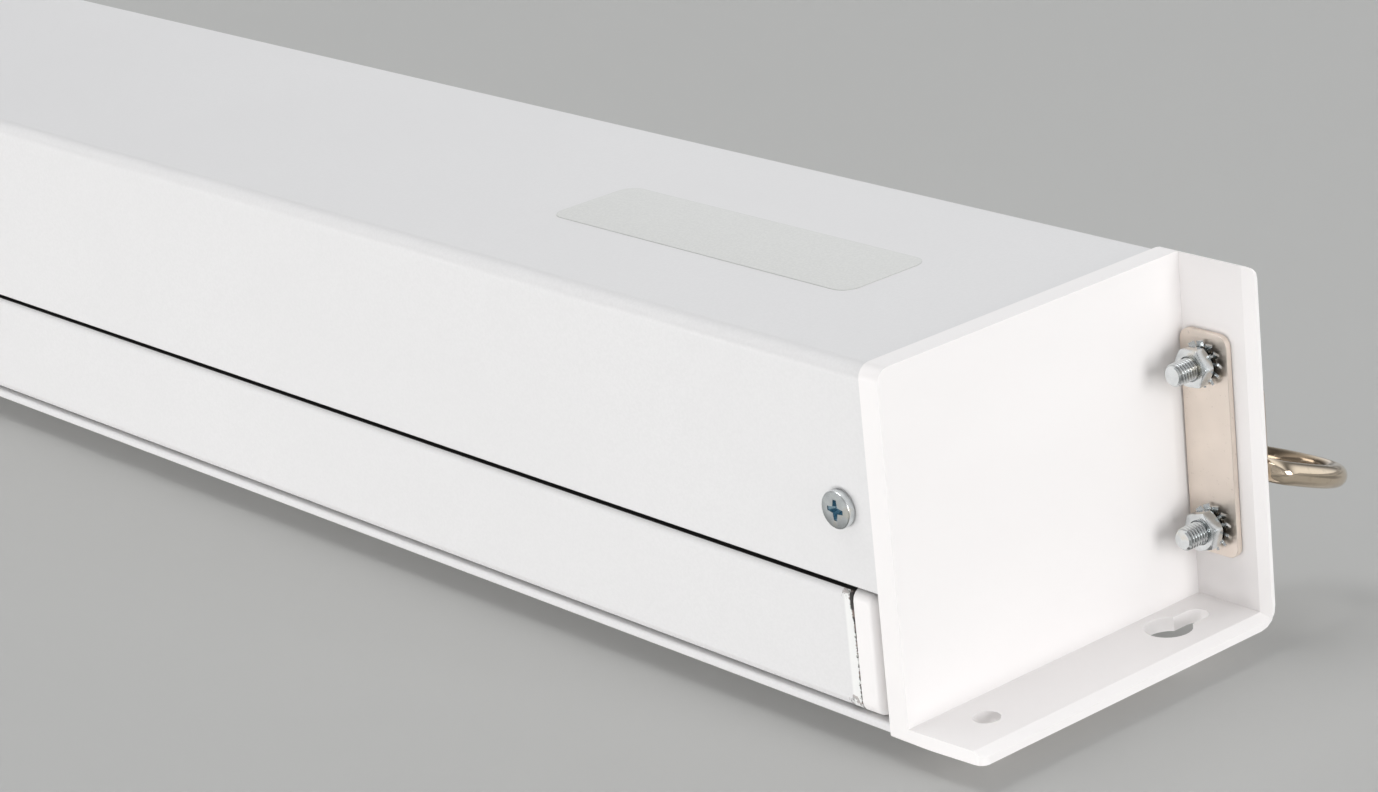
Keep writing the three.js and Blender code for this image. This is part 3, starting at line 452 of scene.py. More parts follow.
def smooth(mesh, crease=CREASE):
    """Smooth shading up to sharp creases."""
    mesh.polygons.foreach_set("use_smooth", [True] * len(mesh.polygons))
    mesh.set_sharp_from_angle(angle=crease)
    return mesh


def merged_copy(node):
    """The CAD node's surface as one mesh with shared corners and whole flat faces."""
    edit = bmesh.new()
    edit.from_mesh(frame["nodes"][node].data)
    bmesh.ops.remove_doubles(edit, verts=edit.verts, dist=WELD)
    bmesh.ops.dissolve_limit(edit, angle_limit=FLAT, verts=edit.verts, edges=edit.edges)
    mesh = bpy.data.meshes.new(node)
    edit.to_mesh(mesh)
    edit.free()
    return mesh


def baked(piece):
    """The piece's mesh with its modifiers applied, in place of the piece."""
    held = piece.evaluated_get(bpy.context.evaluated_depsgraph_get())
    mesh = bpy.data.meshes.new_from_object(held)
    bpy.data.objects.remove(piece)
    return mesh


def round_edges(mesh, radius):
    """Rounds the mesh's sharp edges and weighs its normals by face area."""
    piece = linked("rounding", smooth(mesh))
    bevel = piece.modifiers.new("round", "BEVEL")
    bevel.width = radius
    bevel.segments = 2
    bevel.limit_method = "ANGLE"
    bevel.angle_limit = CREASE
    piece.modifiers.new("weigh", "WEIGHTED_NORMAL").keep_sharp = True
    return baked(piece)


def dress(node, radius, finish=None):
    """A copy of one CAD node with rounded edges."""
    return add_piece(node + "_finished", round_edges(merged_copy(node), radius), [node], finish)


def middle_of(node):
    low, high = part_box(node)
    return (low + high) / 2


def span_of(node):
    """The node's width, depth and height."""
    low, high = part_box(node)
    return high - low


def arc(centre, radii, start, end, steps):
    """Points on part of an ellipse, from one angle to another, in degrees."""
    angles = [math.radians(start + (end - start) * k / steps) for k in range(steps + 1)]
    return [(centre[0] + radii[0] * math.cos(a), centre[1] + radii[1] * math.sin(a)) for a in angles]


def mesh_from(name, points, faces=()):
    mesh = bpy.data.meshes.new(name)
    mesh.from_pydata([tuple(p) for p in points], [], list(faces))
    mesh.update()
    return mesh


def set_values(mesh, name, values):
    """Stores one number per point."""
    mesh.attributes.new(name, "FLOAT", "POINT").data.foreach_set("value", np.asarray(values, np.float32))


def ring_grid(rings, closed):
    """Faces between rings of equal numbers of points, each ring closed on itself."""
    count, around = len(rings), len(rings[0])

    def at(i, k):
        return i % count * around + k % around

    spans = range(count if closed else count - 1)
    return [(at(i, k), at(i, k + 1), at(i + 1, k + 1), at(i + 1, k)) for i in spans for k in range(around)]


def outwards(mesh):
    """Turns the faces outwards."""
    edit = bmesh.new()
    edit.from_mesh(mesh)
    bmesh.ops.remove_doubles(edit, verts=edit.verts, dist=WELD / 10)
    bmesh.ops.recalc_face_normals(edit, faces=edit.faces)
    edit.to_mesh(mesh)
    edit.free()
    return mesh


def shell(name, rings, closed=False):
    """A solid through rings of points, with a flat face at each end or its last ring joined to its first."""
    count = len(rings[0])
    last = len(rings) * count - count
    ends = [] if closed else [tuple(range(count)), tuple(range(last + count - 1, last - 1, -1))]
    return outwards(mesh_from(name, [p for ring in rings for p in ring], ring_grid(rings, closed) + ends))


def lathe(name, profile, around):
    """A closed solid turned about Z from (radius, height) pairs that start and end on the axis."""
    angles = np.linspace(0, 2 * math.pi, around, endpoint=False)
    rings = [[(r * math.cos(a), r * math.sin(a), z) for a in angles] for r, z in profile[1:-1]]
    points = [p for ring in rings for p in ring]
    faces = ring_grid(rings, False)
    first, last = len(points), len(points) + 1
    points += [(0, 0, profile[0][1]), (0, 0, profile[-1][1])]
    final = (len(rings) - 1) * around
    for k in range(around):
        after = (k + 1) % around
        faces.append((first, after, k))
        faces.append((last, final + k, final + after))
    return outwards(mesh_from(name, points, faces))


def carved(body, cutter):
    """The body with the cutter's room taken out of it."""
    piece, tool = linked("body", body), linked("cutter", cutter)
    hollow = piece.modifiers.new("carve", "BOOLEAN")
    hollow.operation = "DIFFERENCE"
    hollow.solver = "EXACT"
    hollow.object = tool
    made = baked(piece)
    bpy.data.objects.remove(tool)
    return made


# Geometry Nodes


class Recipe(Graph):
    """A Geometry Nodes tree with named inputs, whose result is baked to a plain mesh."""

    SOCKETS = {float: "NodeSocketFloat", int: "NodeSocketInt", "object": "NodeSocketObject"}

    def __init__(self, name, **inputs):
        super().__init__(bpy.data.node_groups.new(name, "GeometryNodeTree"))
        face = self.tree.interface
        face.new_socket("Geometry", in_out="INPUT", socket_type="NodeSocketGeometry")
        for key, kind in inputs.items():
            face.new_socket(key, in_out="INPUT", socket_type=self.SOCKETS[kind])
        face.new_socket("Finish", in_out="INPUT", socket_type="NodeSocketMaterial")
        face.new_socket("Geometry", in_out="OUTPUT", socket_type="NodeSocketGeometry")
        outputs = self.node("NodeGroupInput").outputs
        given = {socket.name: Value(self, socket) for socket in outputs if socket.name}
        self.mesh, self.coat = given["Geometry"], given["Finish"]
        self.inputs = [given[key] for key in inputs]

    def make(self, kind, sockets=None, settings=None, key=0):
        """One output of a new geometry node."""
        return self.out(f"GeometryNode{kind}", sockets, settings, key)

    def held(self, piece):
        return self.make("ObjectInfo", {"Object": piece}, key="Geometry")

    def circle(self, steps, radius):
        return self.make("CurvePrimitiveCircle", {"Resolution": steps, "Radius": radius})

    def swept(self, path, section, caps=True):
        """A solid along a path."""
        sockets = {"Curve": path, "Profile Curve": section, "Fill Caps": caps}
        return self.make("CurveToMesh", sockets)

    def marked(self, geometry, name, value):
        """The geometry with one number kept on each point."""
        sockets = {"Geometry": geometry, "Name": name, "Value": value}
        settings = {"data_type": "FLOAT", "domain": "POINT"}
        return self.make("StoreNamedAttribute", sockets, settings)

    def finish(self, *parts):
        """Ends the tree in the real geometry of its parts with its material."""
        whole = self.make("JoinGeometry", {0: list(parts)}) if len(parts) > 1 else parts[0]
        real = self.make("RealizeInstances", {"Geometry": whole})
        coated = self.make("SetMaterial", {"Geometry": real, "Material": self.coat})
        self.node("NodeGroupOutput", {0: coated})
        return self

    def bake(self, mesh, finish, **values):
        """The mesh that the tree makes from one mesh and its named inputs."""
        holder = linked("holder", mesh or bpy.data.meshes.new("empty"))
        modifier = holder.modifiers.new("recipe", "NODES")
        modifier.node_group = self.tree
        keys = {i.name: i.identifier for i in self.tree.interface.items_tree if i.in_out == "INPUT"}
        modifier[keys["Finish"]] = finish_named(finish)
        for key, value in values.items():
            modifier[keys[key]] = value
        return baked(holder)


END_LAND = 0.1 * MM  # bright plain end of a shank
ROWS_PER_TURN = 8  # rows of points in one turn of a thread


def thread_recipe():
    """A screw's shank with a helical thread and a pointed end, hanging down from its origin, under a head."""
    numbers = dict.fromkeys(("Radius", "Length", "Pitch", "Depth"), float)
    tree = Recipe("Threaded shank", **numbers, Around=int, Head="object")
    radius, length, pitch, depth, around, head = tree.inputs
    rows = length / pitch * ROWS_PER_TURN
    sockets = {"Vertices": around, "Side Segments": rows, "Fill Segments": 1}
    shank = tree.make("MeshCylinder", sockets | {"Radius": radius, "Depth": length})
    x, y, z = tree.parts(tree.make("InputPosition"))
    turn = tree.math("ARCTAN2", y, x) / (2 * math.pi)
    phase = tree.math("FRACT", z / pitch - turn)
    crest = ((1 - abs(phase * 2 - 1)) * 1.6 - 0.25).clamped()
    threaded = radius - depth * (1 - crest)
    from_end = z + length / 2
    share = threaded.smaller(from_end + radius * 0.78) / radius
    place = tree.vector(x * share, y * share, z)
    cut = tree.make("SetPosition", {"Geometry": shank, "Position": place})
    # Thread roots are marked for painted shade, all but the plain end.
    dark = tree.marked(cut, "hollow", (1 - crest) * 0.6 * (from_end > END_LAND))
    down = tree.vector(0.0, 0.0, length * -0.5)
    lowered = tree.make("Transform", {"Geometry": dark, "Translation": down})
    return tree.finish(lowered, tree.held(head))


def washer_recipe():
    """A lock washer with twisted teeth all round."""
    numbers = dict.fromkeys(("Inner", "Root", "Outer", "Thickness", "Twist"), float)
    tree = Recipe("Toothed washer", Teeth=int, **numbers)
    teeth, inner, root, outer, thickness, twist = tree.inputs
    middle = (inner + root) / 2
    section = tree.make("CurvePrimitiveQuadrilateral", {0: root - inner, 1: thickness})
    # The band under the teeth is marked for painted shade.
    band = tree.marked(tree.swept(tree.circle(64, middle), section, caps=False), "hollow", 1.0)
    reach = outer - root
    width = middle * 2 * math.pi / teeth * 0.8
    tooth = tree.make("MeshCube", {"Size": tree.vector(reach * 1.5, width, thickness)})
    sockets = {"Geometry": tooth, "Rotation": tree.vector(twist, 0.0, 0.0)}
    twisted = tree.make("Transform", sockets)
    sockets = {"Vertices": teeth, "Radius": root + reach * 0.3}
    spots = tree.make("MeshCircle", sockets, {"fill_type": "NONE"})
    angle = tree.vector(0.0, 0.0, tree.value("GeometryNodeInputIndex") * (2 * math.pi) / teeth)
    sockets = {"Points": spots, "Instance": twisted, "Rotation": angle}
    return tree.finish(band, tree.make("InstanceOnPoints", sockets))


def wire_recipe():
    """A round wire along the given path."""
    tree = Recipe("Bent wire", Radius=float, Sides=int)
    radius, sides = tree.inputs
    return tree.finish(tree.swept(tree.make("MeshToCurve", {0: tree.mesh}), tree.circle(sides, radius)))


def spring_recipe():
    """An open coil of wire along Z."""
    tree = Recipe("Winding spring", Turns=float, Coil=float, Length=float, Wire=float)
    turns, coil, length, wire = tree.inputs
    sockets = {"Resolution": 28, "Rotations": turns, "Height": length}
    spiral = tree.make("CurveSpiral", sockets | {"Start Radius": coil, "End Radius": coil})
    return tree.finish(tree.swept(spiral, tree.circle(10, wire)))


def seat_recipe():
    """One fastener on every seat, turned as the seat says."""
    tree = Recipe("Fasteners on their seats", Fastener="object")
    settings = {"data_type": "FLOAT_VECTOR"}
    turn = tree.make("InputNamedAttribute", {"Name": "turn"}, settings, "Attribute")
    rotation = tree.out("FunctionNodeEulerToRotation", {0: turn})
    sockets = {"Points": tree.mesh, "Instance": tree.held(tree.inputs[0]), "Rotation": rotation}
    return tree.finish(tree.make("InstanceOnPoints", sockets))


def recipe(maker):
    """A tree is built once, on its first use."""
    kept = recipe.__dict__.setdefault("kept", {})
    if maker not in kept:
        kept[maker] = maker()
    return kept[maker]


def wire_piece(node, points, radius, sides):
    """A piece of round wire along a path of points, in place of the node."""
    path = bpy.data.meshes.new("path")
    path.from_pydata(points, [(i, i + 1) for i in range(len(points) - 1)], [])
    made = recipe(wire_recipe).bake(path, SLOT_OF[node], Radius=radius, Sides=sides)
    add_piece(f"{node}_finished", smooth(made), [node])
    return made


def seat(name, master, seats, finish="zinc_plate"):
    """Puts a copy of the master on every seat (node, place, turn), as one piece."""
    points = mesh_from("seats", [place for _, place, _ in seats])
    turns = points.attributes.new("turn", "FLOAT_VECTOR", "POINT")
    turns.data.foreach_set("vector", [angle for _, _, turn in seats for angle in turn])
    held = linked("master", master)
    made = recipe(seat_recipe).bake(points, finish, Fastener=held)
    bpy.data.objects.remove(held)
    return add_piece(name, made, [node for node, _, _ in seats], finish)


# Masters of the fasteners

CROSS_REACH = 2.3 * MM
CROSS_WIDTH = 0.95 * MM
CROSS_DEPTH = 1.25 * MM


def cross_cutter(top):
    """A tapered cross that cuts a driver's recess, down from just over the head's top."""
    arm, half = CROSS_REACH, CROSS_WIDTH / 2

    def outline(share, z):
        a, w = arm * share, half * share
        quarter = [(a, -w), (a, w), (w * 1.5, w * 1.5)]
        turned = []
        for k in range(4):
            c, s = math.cos(k * math.pi / 2), math.sin(k * math.pi / 2)
            turned += [(x * c - y * s, x * s + y * c, z) for x, y in quarter]
        return turned

    over = 0.3 * MM
    rings = [outline(1.0, top + over), outline(0.97, top - over), outline(0.5, top - CROSS_DEPTH)]
    return shell("cross", rings)


def pan_head(radius, height):
    """A pan head with a cross recess, its seat at 0 and its top up."""
    flat, edge, crown = 0.93, 0.72, 0.99  # shares of the radius and, twice, of the height
    profile = [(0, 0), (radius * 0.98, 0), (radius, height * 0.06)]
    profile += arc((radius * flat, height * edge), (radius * (1 - flat), height * (crown - edge)), 0, 90, 7)
    profile += [(radius * flat / 2, height * crown), (0, height)]
    mesh = carved(lathe("pan_head", profile, around=64), cross_cutter(height))
    # The recess is marked for painted blue-grey shade.
    in_recess = [p.co.xy.length < radius * 0.6 and 0.1 < p.co.z / height < 0.9 for p in mesh.vertices]
    set_values(mesh, "recess", in_recess)
    return mesh


def machine_screw(head_radius, head_height, length, radius, pitch):
    """A pan-head screw with its thread, its seat at 0 and its shank down."""
    head = linked("head", smooth(pan_head(head_radius, head_height)))
    named = {"Radius": radius, "Length": length, "Pitch": pitch, "Depth": sizes().thread_depth}
    made = recipe(thread_recipe).bake(None, "zinc_plate", Around=28, Head=head, **named)
    bpy.data.objects.remove(head)
    return smooth(made, THREAD_CREASE)


def hex_nut(across, height, bore):
    """A nut with chamfered corners on both faces and a countersunk bore, centred on its middle."""
    around = 96
    flat, face, sink, edge = across / 2, across / 2 * 0.95, 0.35 * MM, 0.09 * MM
    corner = flat / math.cos(math.pi / 6) * 0.985
    slope = math.tan(math.radians(30))

    def ring(radius=None, depth=0.0):
        """A round ring at a depth under the face, or the six-sided one that the chamfer ends in."""
        points = []
        for k in range(around):
            angle = 2 * math.pi * k / around
            off = (angle + math.pi / 6) % (math.pi / 3) - math.pi / 6
            reach = radius or min(flat / math.cos(off), corner)
            under = depth if radius else (reach - face) * slope
            points.append((reach * math.cos(angle), reach * math.sin(angle), under - height / 2))
        return points

    lower = [ring(bore, sink), ring(bore + sink), ring(face), ring()]
    rings = lower + [[(x, y, -z) for x, y, z in each] for each in reversed(lower)]
    return smooth(round_edges(shell("nut", rings, closed=True), edge), NUT_CREASE)


# Cloth


def drawn_length():
    """Length of cloth below the roller's axis when the slat is fully down."""
    low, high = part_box("screen_fabric")
    return high.z - low.z + JOINTS["slat_drop"]["range_m"][1]


def cloth_solid(name, line, half, thickness, across, lift=None):
    """A thin closed sheet along a line of (y, z, normal y, normal z) places, from -half to half across.

    Its front, on the normals' side, has the first material, and its back and edges the second.
    """
    xs = np.linspace(-half, half, across + 1)
    rows, columns = len(line), across + 1
    points = []
    for side in (0.5, -0.5):
        for i, (y, z, ny, nz) in enumerate(line):
            for x in xs:
                rise = side * thickness + (lift(x, i / (rows - 1)) if lift else 0)
                points.append((x, y + ny * rise, z + nz * rise))

    def at(side, i, k):
        return side * rows * columns + i * columns + k

    def cell(side, i, k):
        return [at(side, i, k), at(side, i, k + 1), at(side, i + 1, k + 1), at(side, i + 1, k)]

    cells = [(i, k) for i in range(rows - 1) for k in range(columns - 1)]
    faces = [cell(0, *c) for c in cells] + [cell(1, *c)[::-1] for c in cells]
    rim = [((i, k), (i + 1, k)) for i in range(rows - 1) for k in (0, columns - 1)]
    rim += [((i, k), (i, k + 1)) for k in range(columns - 1) for i in (0, rows - 1)]
    faces += [(at(0, *a), at(0, *b), at(1, *b), at(1, *a)) for a, b in rim]
    mesh = mesh_from(name, points, faces)
    mesh.polygons.foreach_set("material_index", [0] * len(cells) + [1] * (len(faces) - len(cells)))
    return smooth(outwards(mesh), CLOTH_CREASE)


def place_cloth(name, mesh, node):
    """The cloth as a piece with its two faces' finishes."""
    piece = linked(name, mesh)
    for finish in ("cloth_front", "cloth_back"):
        mesh.materials.append(finish_named(finish))
    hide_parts(node)
    return piece


# Operators


class PROJECTION_OT_stage(bpy.types.Operator):
    """Set up the camera, the pale wall and floor, and the soft studio light"""

    bl_idname = "projection.stage"
    bl_label = "Stage"

    # Each lamp's place, width and depth in metres, and its power in watts
    lamps = {
        "front_lamp": ((-1.0, -6.4, -1.2), (4, 3), 139),
        "under_lamp": ((0.0, 0.5, -2.05), (3.4, 0.7), 37),
        "end_lamp": ((6.6, -0.9, 0.2), (4, 2.6), 180),
        "back_lamp": ((-0.6, 6.2, 3.4), (3, 3), 150),
    }
    aim = Vector((0.2, -0.04, -0.03))  # of all lamps but the one under the case
    up = Vector((0, 0, 1))
    wall_width, wall_y, wall_colour = 20, 6 * MM, tone(186, 186, 184)
    floor_width, floor_z, floor_colour = 60, -2.1, tone(213, 212, 212)

    def execute(self, context):
        scene = context.scene
        for name in ("Cube", "Light", "Camera"):
            if name in bpy.data.objects:
                bpy.data.objects.remove(bpy.data.objects[name])
        scene.view_settings.view_transform = "Standard"
        self.add_camera(scene)
        at = (0, self.wall_y, 0)
        wall = self.plane("wall", self.wall_width, at, math.pi / 2, self.wall_colour, see_through_back=True)
        at = (0, 0, self.floor_z)
        floor = self.plane("floor", self.floor_width, at, 0, self.floor_colour)
        self.add_light(scene)
        return {"FINISHED"}

    def add_camera(self, scene):
        camera = linked("camera", bpy.data.cameras.new("camera"))
        camera.location = CAMERA_AT
        camera.rotation_euler = [math.radians(angle) for angle in CAMERA_TURN]
        camera.data.lens = LENS
        camera.data.sensor_width = SENSOR
        camera.data.clip_start = 10 * MM
        camera.data.clip_end = 100
        scene.camera = camera

    def plane(self, name, width, place, turn, colour, see_through_back=False):
        """A large flat sheet of one matt colour, with dark patches painted in only where metal reflects it, which
        can let sight and lamplight through from behind.
        """
        half = width / 2
        corners = [Vector((x, y, 0)) for x, y in ((-half, -half), (half, -half), (half, half), (-half, half))]
        turned = Matrix.Translation(place) @ Matrix.Rotation(turn, 4, "X")
        mesh = mesh_from(name, [turned @ c for c in corners], [(0, 1, 2, 3)])
        finish = Finish(name)
        tint = finish.mix(finish.noise(3), darker(colour, 0.97), colour)
        # Painted reflection: dark patches on the sheet for glossy rays only.
        mirrored = finish.value("ShaderNodeLightPath", key="Is Glossy Ray")
        patches = finish.ramp(finish.noise(7), 0.42, 0.6)
        tint = finish.mix(mirrored * patches, tint, darker(colour, 0.5))
        shader = finish.out("ShaderNodeBsdfPrincipled", {"Base Color": tint, "Roughness": 0.9})
        if see_through_back:
            behind = finish.value("ShaderNodeNewGeometry", key="Backfacing")
            behind = behind.larger(finish.value("ShaderNodeLightPath", key="Is Shadow Ray"))
            clear = finish.out("ShaderNodeBsdfTransparent")
            shader = finish.out("ShaderNodeMixShader", {0: behind, 1: shader, 2: clear})
        finish.node("ShaderNodeOutputMaterial", {"Surface": shader})
        mesh.materials.append(finish.material)
        return linked(name, mesh)

    def add_light(self, scene):
        world = bpy.data.worlds.new("studio")
        scene.world = world
        world.use_nodes = True
        sky = Graph(world.node_tree)
        way = sky.parts(sky.out("ShaderNodeTexCoord", key="Generated"))
        banded = sky.math("SINE", way[2] * 7 + way[0] * 4) * 0.5
        mirrored = sky.value("ShaderNodeLightPath", key="Is Glossy Ray")
        strength = 0.62 - way[1] * 0.1 + way[2] * 0.06 + mirrored * banded
        sockets = {"Color": (*tone(246, 248, 250), 1), "Strength": strength}
        sky.node("ShaderNodeOutputWorld", {"Surface": sky.out("ShaderNodeBackground", sockets)})
        for name, (place, (width, depth), power) in self.lamps.items():
            lamp = linked(name, bpy.data.lights.new(name, "AREA"))
            lamp.data.shape = "RECTANGLE"
            lamp.data.size = width
            lamp.data.size_y = depth
            lamp.data.energy = power
            lamp.location = place
            way = self.up if name == "under_lamp" else self.aim - Vector(place)
            lamp.rotation_euler = way.to_track_quat("-Z", "Y").to_euler()
            lamp.visible_camera = False


class PROJECTION_OT_case(bpy.types.Operator):
    """Dress the sheet-metal housing and put the bare label on its front"""

    bl_idname = "projection.case"
    bl_label = "Case and label"

    # Label, from the case's right end and top
    label_width = 98 * MM
    label_height = 24.2 * MM
    label_inset = 35.3 * MM
    label_drop = 33.5 * MM
    label_corner = 4 * MM
    label_film = 0.12 * MM
    label_gap = 0.02 * MM

    def execute(self, context):
        dress("housing", sizes().sheet_round)
        low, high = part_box("housing")
        right = high.x - self.label_inset
        top = high.z - self.label_drop
        self.add_label(right, top, low.y - self.label_gap)
        return {"FINISHED"}

    def add_label(self, right, top, y):
        """A thin film with round corners, lying on the front."""
        half_width, half_height, corner = self.label_width / 2, self.label_height / 2, self.label_corner

        def outline(radius, y):
            points = []
            for across, up, start in ((1, 1, 0), (-1, 1, 90), (-1, -1, 180), (1, -1, 270)):
                x = right - half_width + across * (half_width - corner)
                z = top - half_height + up * (half_height - corner)
                points += [(x, y, z) for x, z in arc((x, z), (radius, radius), start, start + 90, 8)]
            return points

        film = self.label_film
        rings = [outline(corner, y), outline(corner, y - film * 0.7), outline(corner * 0.9, y - film)]
        mesh = shell("label", rings)
        set_values(mesh, "rim", [i < 2 * len(rings[0]) for i in range(len(mesh.vertices))])
        piece = linked("front_label", smooth(mesh))
        mesh.materials.append(finish_named("label_film"))
        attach(piece, BODY_OF["housing"])


class PROJECTION_OT_end_caps(bpy.types.Operator):
    """Dress the moulded end caps"""

    bl_idname = "projection.end_caps"
    bl_label = "End caps"

    def execute(self, context):
        for side in SIDES:
            dress(f"end_cap_{side}", sizes().edge_round)
        return {"FINISHED"}


class PROJECTION_OT_slat(bpy.types.Operator):
    """Dress the slat, its end plugs and the rod in the cloth's hem"""

    bl_idname = "projection.slat"
    bl_label = "Slat"

    def execute(self, context):
        dress("slat_bar", sizes().sheet_round, "slat_paint")
        for side in SIDES:
            dress(f"slat_plug_{side}", sizes().edge_round)
        dress("fabric_rod", sizes().edge_round)
        return {"FINISHED"}


class PROJECTION_OT_hangers(bpy.types.Operator):
    """Dress the straps and plates, and bend the hanging rings"""

    bl_idname = "projection.hangers"
    bl_label = "Hangers"

    wire = 5 * MM
    corner = 3.4 * MM
    legs = 8.5 * MM
    lean = math.radians(22)  # towards the wall, as the ring lies
    butt = 0.5 * MM  # open joint in the middle of the bar

    def execute(self, context):
        for side in SIDES:
            dress(f"hanger_saddle_{side}", sizes().edge_round)
            dress(f"hanger_backing_plate_{side}", sizes().sheet_round * 1.6)
            self.add_ring(side)
        return {"FINISHED"}

    def add_ring(self, side):
        """A bar, two short legs and an oval bow, in one plane that leans towards the wall."""
        node = f"hanger_ring_{side}"
        low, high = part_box(node)
        half = (high.x - low.x - self.wire) / 2
        bar = Vector(JOINTS[f"ring_{side}_swing"]["pos_m"])
        bow = (high.z - bar.z - self.wire / 2) / math.cos(self.lean) - self.legs
        start = [(self.butt / 2, 0)]
        start += arc((half - self.corner, self.corner), (self.corner, self.corner), -90, 0, 8)
        flat = start + arc((0, self.legs), (half, bow), 0, 180, 48)
        flat += [(-x, z) for x, z in reversed(start)]
        back, up = math.sin(self.lean), math.cos(self.lean)
        points = [bar + Vector((x, z * back, z * up)) for x, z in flat]
        made = wire_piece(node, points, self.wire / 2, sides=32)
        # How far each point of the wire faces the ring's middle, where the ring's finish paints a dark brown
        # reflection.
        middle = bar + Vector((0, back, up)) * (self.legs + bow * 0.3)
        inner = []
        for point in made.vertices:
            nearest = min(points, key=lambda p: (p - point.co).length)
            inner.append(0.5 + 0.5 * (point.co - nearest).normalized().dot((middle - nearest).normalized()))
        set_values(made, "inner", inner)


class PROJECTION_OT_fasteners(bpy.types.Operator):
    """Make the threaded screws, nuts, lock washers and rivets"""

    bl_idname = "projection.fasteners"
    bl_label = "Fasteners"

    case_screw_radius = 2 * MM
    case_pitch = 0.7 * MM
    hanger_screw_radius = 2.5 * MM
    hanger_pitch = 0.8 * MM
    head_height = 2.1 * MM  # of the solid
    head_shown = 1.75 * MM
    hanger_head_height = 2.2 * MM
    bore_gap = 0.1 * MM
    washer_hole = 2.75 * MM  # radius
    washer_thickness = 0.55 * MM
    teeth = 12
    tooth_length = 1.2 * MM
    rivet_round = 0.2 * MM
    case_turn = {("right", "under"): 2, ("right", "top"): 50, ("left", "under"): 31, ("left", "top"): 70}
    nut_turn = {("right", "front"): 26, ("right", "back"): 14, ("left", "front"): 37, ("left", "back"): 22}

    def execute(self, context):
        self.add_case_screws()
        self.add_hanger_fasteners()
        self.add_rivets("handle_rivets", [f"handle_rivet_{i}" for i in (1, 2, 3, 4)])
        self.add_rivets("pawl_rivets", ["pawl_rivet_upper", "pawl_rivet_lower"])
        return {"FINISHED"}

    def add_case_screws(self):
        size = span_of("case_screw_right_under")
        length = size.z - self.head_height
        master = machine_screw(size.x / 2, self.head_shown, length, self.case_screw_radius, self.case_pitch)
        seats = []
        for (side, face), angle in self.case_turn.items():
            node = f"case_screw_{side}_{face}"
            low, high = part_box(node)
            x, y, _ = middle_of(node)
            tilt, z = (0, high.z - self.head_height) if face == "top" else (math.pi, low.z + self.head_height)
            seats.append((node, (x, y, z), (tilt, 0, math.radians(angle))))
        seat("case_screws", master, seats)

    def add_hanger_fasteners(self):
        head = self.hanger_head_height
        size = span_of("hanger_screw_right_front")
        screw = machine_screw(size.x / 2, head, size.z - head, self.hanger_screw_radius, self.hanger_pitch)
        size = span_of("hanger_nut_right_front")
        nut = hex_nut(size.y, size.z, self.hanger_screw_radius - self.bore_gap)
        outer = span_of("hanger_lock_washer_right_front").x / 2
        named = {"Inner": self.washer_hole, "Root": outer - self.tooth_length, "Outer": outer}
        named |= {"Thickness": self.washer_thickness, "Twist": sizes().tooth_twist}
        washer = recipe(washer_recipe).bake(None, "zinc_plate", Teeth=self.teeth, **named)
        screws, nuts, washers = [], [], []
        for (side, place), angle in self.nut_turn.items():
            turn = math.radians(angle)
            node = f"hanger_screw_{side}_{place}"
            x, y, _ = middle_of(node)
            screws.append((node, (x, y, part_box(node)[1].z - head), (0, 0, turn * 2)))
            for kind, kept in (("nut", nuts), ("lock_washer", washers)):
                node = f"hanger_{kind}_{side}_{place}"
                kept.append((node, middle_of(node), (0, 0, turn)))
        seat("hanger_screws", screw, screws)
        seat("hanger_nuts", nut, nuts)
        seat("hanger_lock_washers", smooth(washer, WASHER_CREASE), washers)

    def add_rivets(self, name, nodes):
        """Like rivets as one piece, from the first one's own shape."""
        master = round_edges(merged_copy(nodes[0]), self.rivet_round)
        master.transform(Matrix.Translation(-middle_of(nodes[0])))
        seats = [(node, middle_of(node), (0, 0, 0)) for node in nodes]
        seat(name, master, seats, SLOT_OF[nodes[0]])


